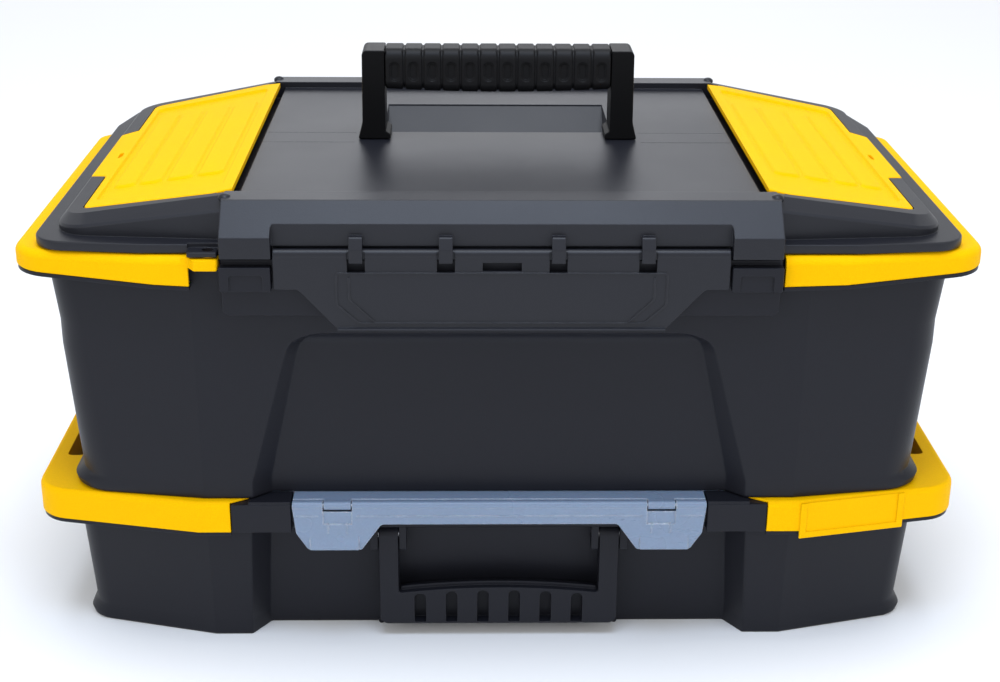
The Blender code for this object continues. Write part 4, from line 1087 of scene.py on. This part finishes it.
def grip_piece():
    """The ribbed grip: twelve raised bands with narrow notches between, and an oval dimple on each band."""
    count = 12
    half_x = GRIP[1].x
    pitch = 2 * half_x / count
    notch = 0.001
    front, rear = GRIP[0].y, GRIP[1].y
    top = GRIP[1].z
    section = [(front, 0), (rear, 0), (rear, 1), (front, 1)]

    def ring_at(x, inset):
        low = GRIP[0].z - 0.0018 * (1 - (x / half_x) ** 2)
        corners = []
        for y, high in section:
            y = y + (inset if y == front else -inset)
            z = top - inset if high else low + inset
            corners.append((y, z, 0.0058 if high else 0.005))
        return [(x, y, z) for y, z in rounded(corners, 8)]

    rings = []
    edge = ((0.0, 0.0009), (0.0003, 0.0003), (0.0009, 0.0))
    for i in range(count):
        low, high = -half_x + i * pitch, -half_x + (i + 1) * pitch
        low += 0.0 if i == 0 else notch / 2
        high -= 0.0 if i == count - 1 else notch / 2
        rings += [ring_at(low + along, inset) for along, inset in edge]
        rings += [ring_at(high - along, inset) for along, inset in reversed(edge)]
    grip = loft(rings)
    cut(grip, box((-0.0785, 0.0, 0.2956), (0.0785, 0.0114, 0.3082)))
    for i in range(count):
        x = -half_x + (i + 0.5) * pitch
        for face, inward in ((front, 1), (rear, -1)):
            for wide, tall, deep in ((0.0031, 0.0056, 0.0005), (0.0021, 0.0046, 0.0013)):
                middle = (GRIP[0].z + top) / 2 - 0.001
                plan = ((-wide, -tall), (wide, -tall), (wide, tall), (-wide, tall))
                corners = [(x + a, middle + b, wide * 0.98) for a, b in plan]
                cut(grip, plate(rounded(corners, 6), face - 0.002 * inward, face + deep * inward, "Y"))
    return piece("ribbed_grip", grip, "tool_box_lid", "black_grip", RUBBER, "handle_grip")


def tray_piece():
    floor_z, top_z = TRAY[0].z, TRAY[1].z
    sections = [(0.2215, 0.1165, floor_z), (0.223, 0.118, floor_z + 0.0015)]
    sections += [(0.2268, 0.1218, top_z - 0.003), (0.2275, 0.1225, top_z - 0.003)]
    sections += [(0.2275, 0.1225, top_z), (0.2248, 0.1198, top_z)]
    sections += [(0.2211, 0.1161, floor_z + 0.005), (0.218, 0.113, floor_z + 0.002)]
    tray = loft([ring(rounded(four_way([(x, -y, 0.012)])), z) for x, y, z in sections], 0.0004, 40)
    wall = [(-0.224, 0.176, 0), (0.224, 0.176, 0), (0.224, 0.206, 0), (0.064, 0.206, 0.008)]
    wall += [(0.05, 0.218, 0.006), (-0.05, 0.218, 0.006)]
    wall += [(-0.064, 0.206, 0.008), (-0.224, 0.206, 0)]
    fuse(tray, plate(rounded(wall), -0.001, 0.001, "Y", 0.0004))
    fuse(tray, box((-0.048, -0.0028, 0.215), (0.048, 0.0028, 0.219), 0.0016))
    return piece("tool_tray", tray, "tool_box", "yellow_tray", YELLOW, "lift_out_tray")


# Small frame nodes that keep their own shape


def carried_over():
    """Pins and dividers keep their frame mesh, with fine rounded edges and a finish."""
    finishes = {"steel_pin": STEEL, "clear_divider": CLEAR}
    for part in frame["record"]["subparts"]:
        finish = finishes.get(part["material_slot"])
        if not finish:
            continue
        node = frame["nodes"][part["node"]]
        node.data.materials.clear()
        node.data.materials.append(finish)
        weld = node.modifiers.new("weld", "WELD")
        weld.merge_threshold = 0.00001
        softened(node, 0.0003)


lower_tub_piece()
clear_lid_piece()
clear_latch_piece()
carry_handle_piece()
upper_tub_piece()
lid_piece()
front_latch_piece()
top_handle_piece()
grip_piece()
tray_piece()
for word, side in zip(("left", "right"), SIDES):
    lower_side_handle_piece(word, side)
    upper_side_handle_piece(word, side)
    cover_piece(word, side)
carried_over()


# Stage, light and camera


def floor():
    bm = bmesh.new()
    bmesh.ops.create_grid(bm, x_segments=2, y_segments=2, size=6.0)
    made = from_bmesh(bm)
    made.name = "studio_floor"
    n = Nodes("pale_floor")
    n.set(Base_Color=(0.92, 0.92, 0.92, 1.0), Roughness=0.7)
    made.data.materials.append(n.material)


def softbox(name, place, aim, size, power, colour=(1.0, 1.0, 1.0)):
    lamp = bpy.data.lights.new(name, "AREA")
    lamp.shape = "RECTANGLE"
    lamp.size, lamp.size_y = size
    lamp.energy = power
    lamp.color = colour
    obj = linked(name, lamp)
    place = Vector(place)
    turn = (Vector(aim) - place).to_track_quat("-Z", "Y")
    obj.matrix_world = Matrix.Translation(place) @ turn.to_matrix().to_4x4()


def camera():
    """The view from the front and above: 22 degrees down, a little from the left."""
    down, yaw, roll = 0.383, 0.0216, 0.0081
    ahead = Vector((math.sin(yaw) * math.cos(down), math.cos(yaw) * math.cos(down), -math.sin(down)))
    right = Vector((math.cos(yaw), -math.sin(yaw), 0.0))
    up = right.cross(ahead)
    side = right * math.cos(roll) + up * math.sin(roll)
    top = up * math.cos(roll) - right * math.sin(roll)
    data = bpy.data.cameras.new("camera")
    data.lens = 59.4
    data.sensor_width = 36.0
    obj = linked("camera", data)
    turn = Matrix((side, top, -ahead)).transposed().to_4x4()
    obj.matrix_world = Matrix.Translation((-0.018, -0.9467, 0.512)) @ turn
    bpy.context.scene.camera = obj


def world():
    made = bpy.data.worlds.new("white studio")
    made.use_nodes = True
    background = made.node_tree.nodes["Background"].inputs
    background["Color"].default_value = (0.95, 0.97, 1.0, 1.0)
    background["Strength"].default_value = 0.86
    bpy.context.scene.world = made
    bpy.context.scene.view_settings.view_transform = "Standard"


floor()
softbox("overhead", (0.0, -0.1, 1.9), (0.0, 0.0, 0.2), (1.0, 0.5), 12.0, (0.9, 0.94, 1.0))
softbox("overhead front", (0.0, -0.75, 1.9), (0.0, -0.1, 0.2), (1.1, 0.5), 14.0, (0.62, 0.76, 1.0))
softbox("behind", (0.0, 3.2, 1.7), (0.0, 0.0, 0.2), (1.5, 1.5), 9.0, (0.92, 0.94, 1.0))
softbox("front left", (-1.6, -2.2, 1.2), (0.0, 0.0, 0.15), (1.0, 1.0), 9.0)
softbox("front right", (1.8, -1.9, 1.0), (0.0, 0.0, 0.15), (1.0, 1.0), 7.0)
camera()
world()
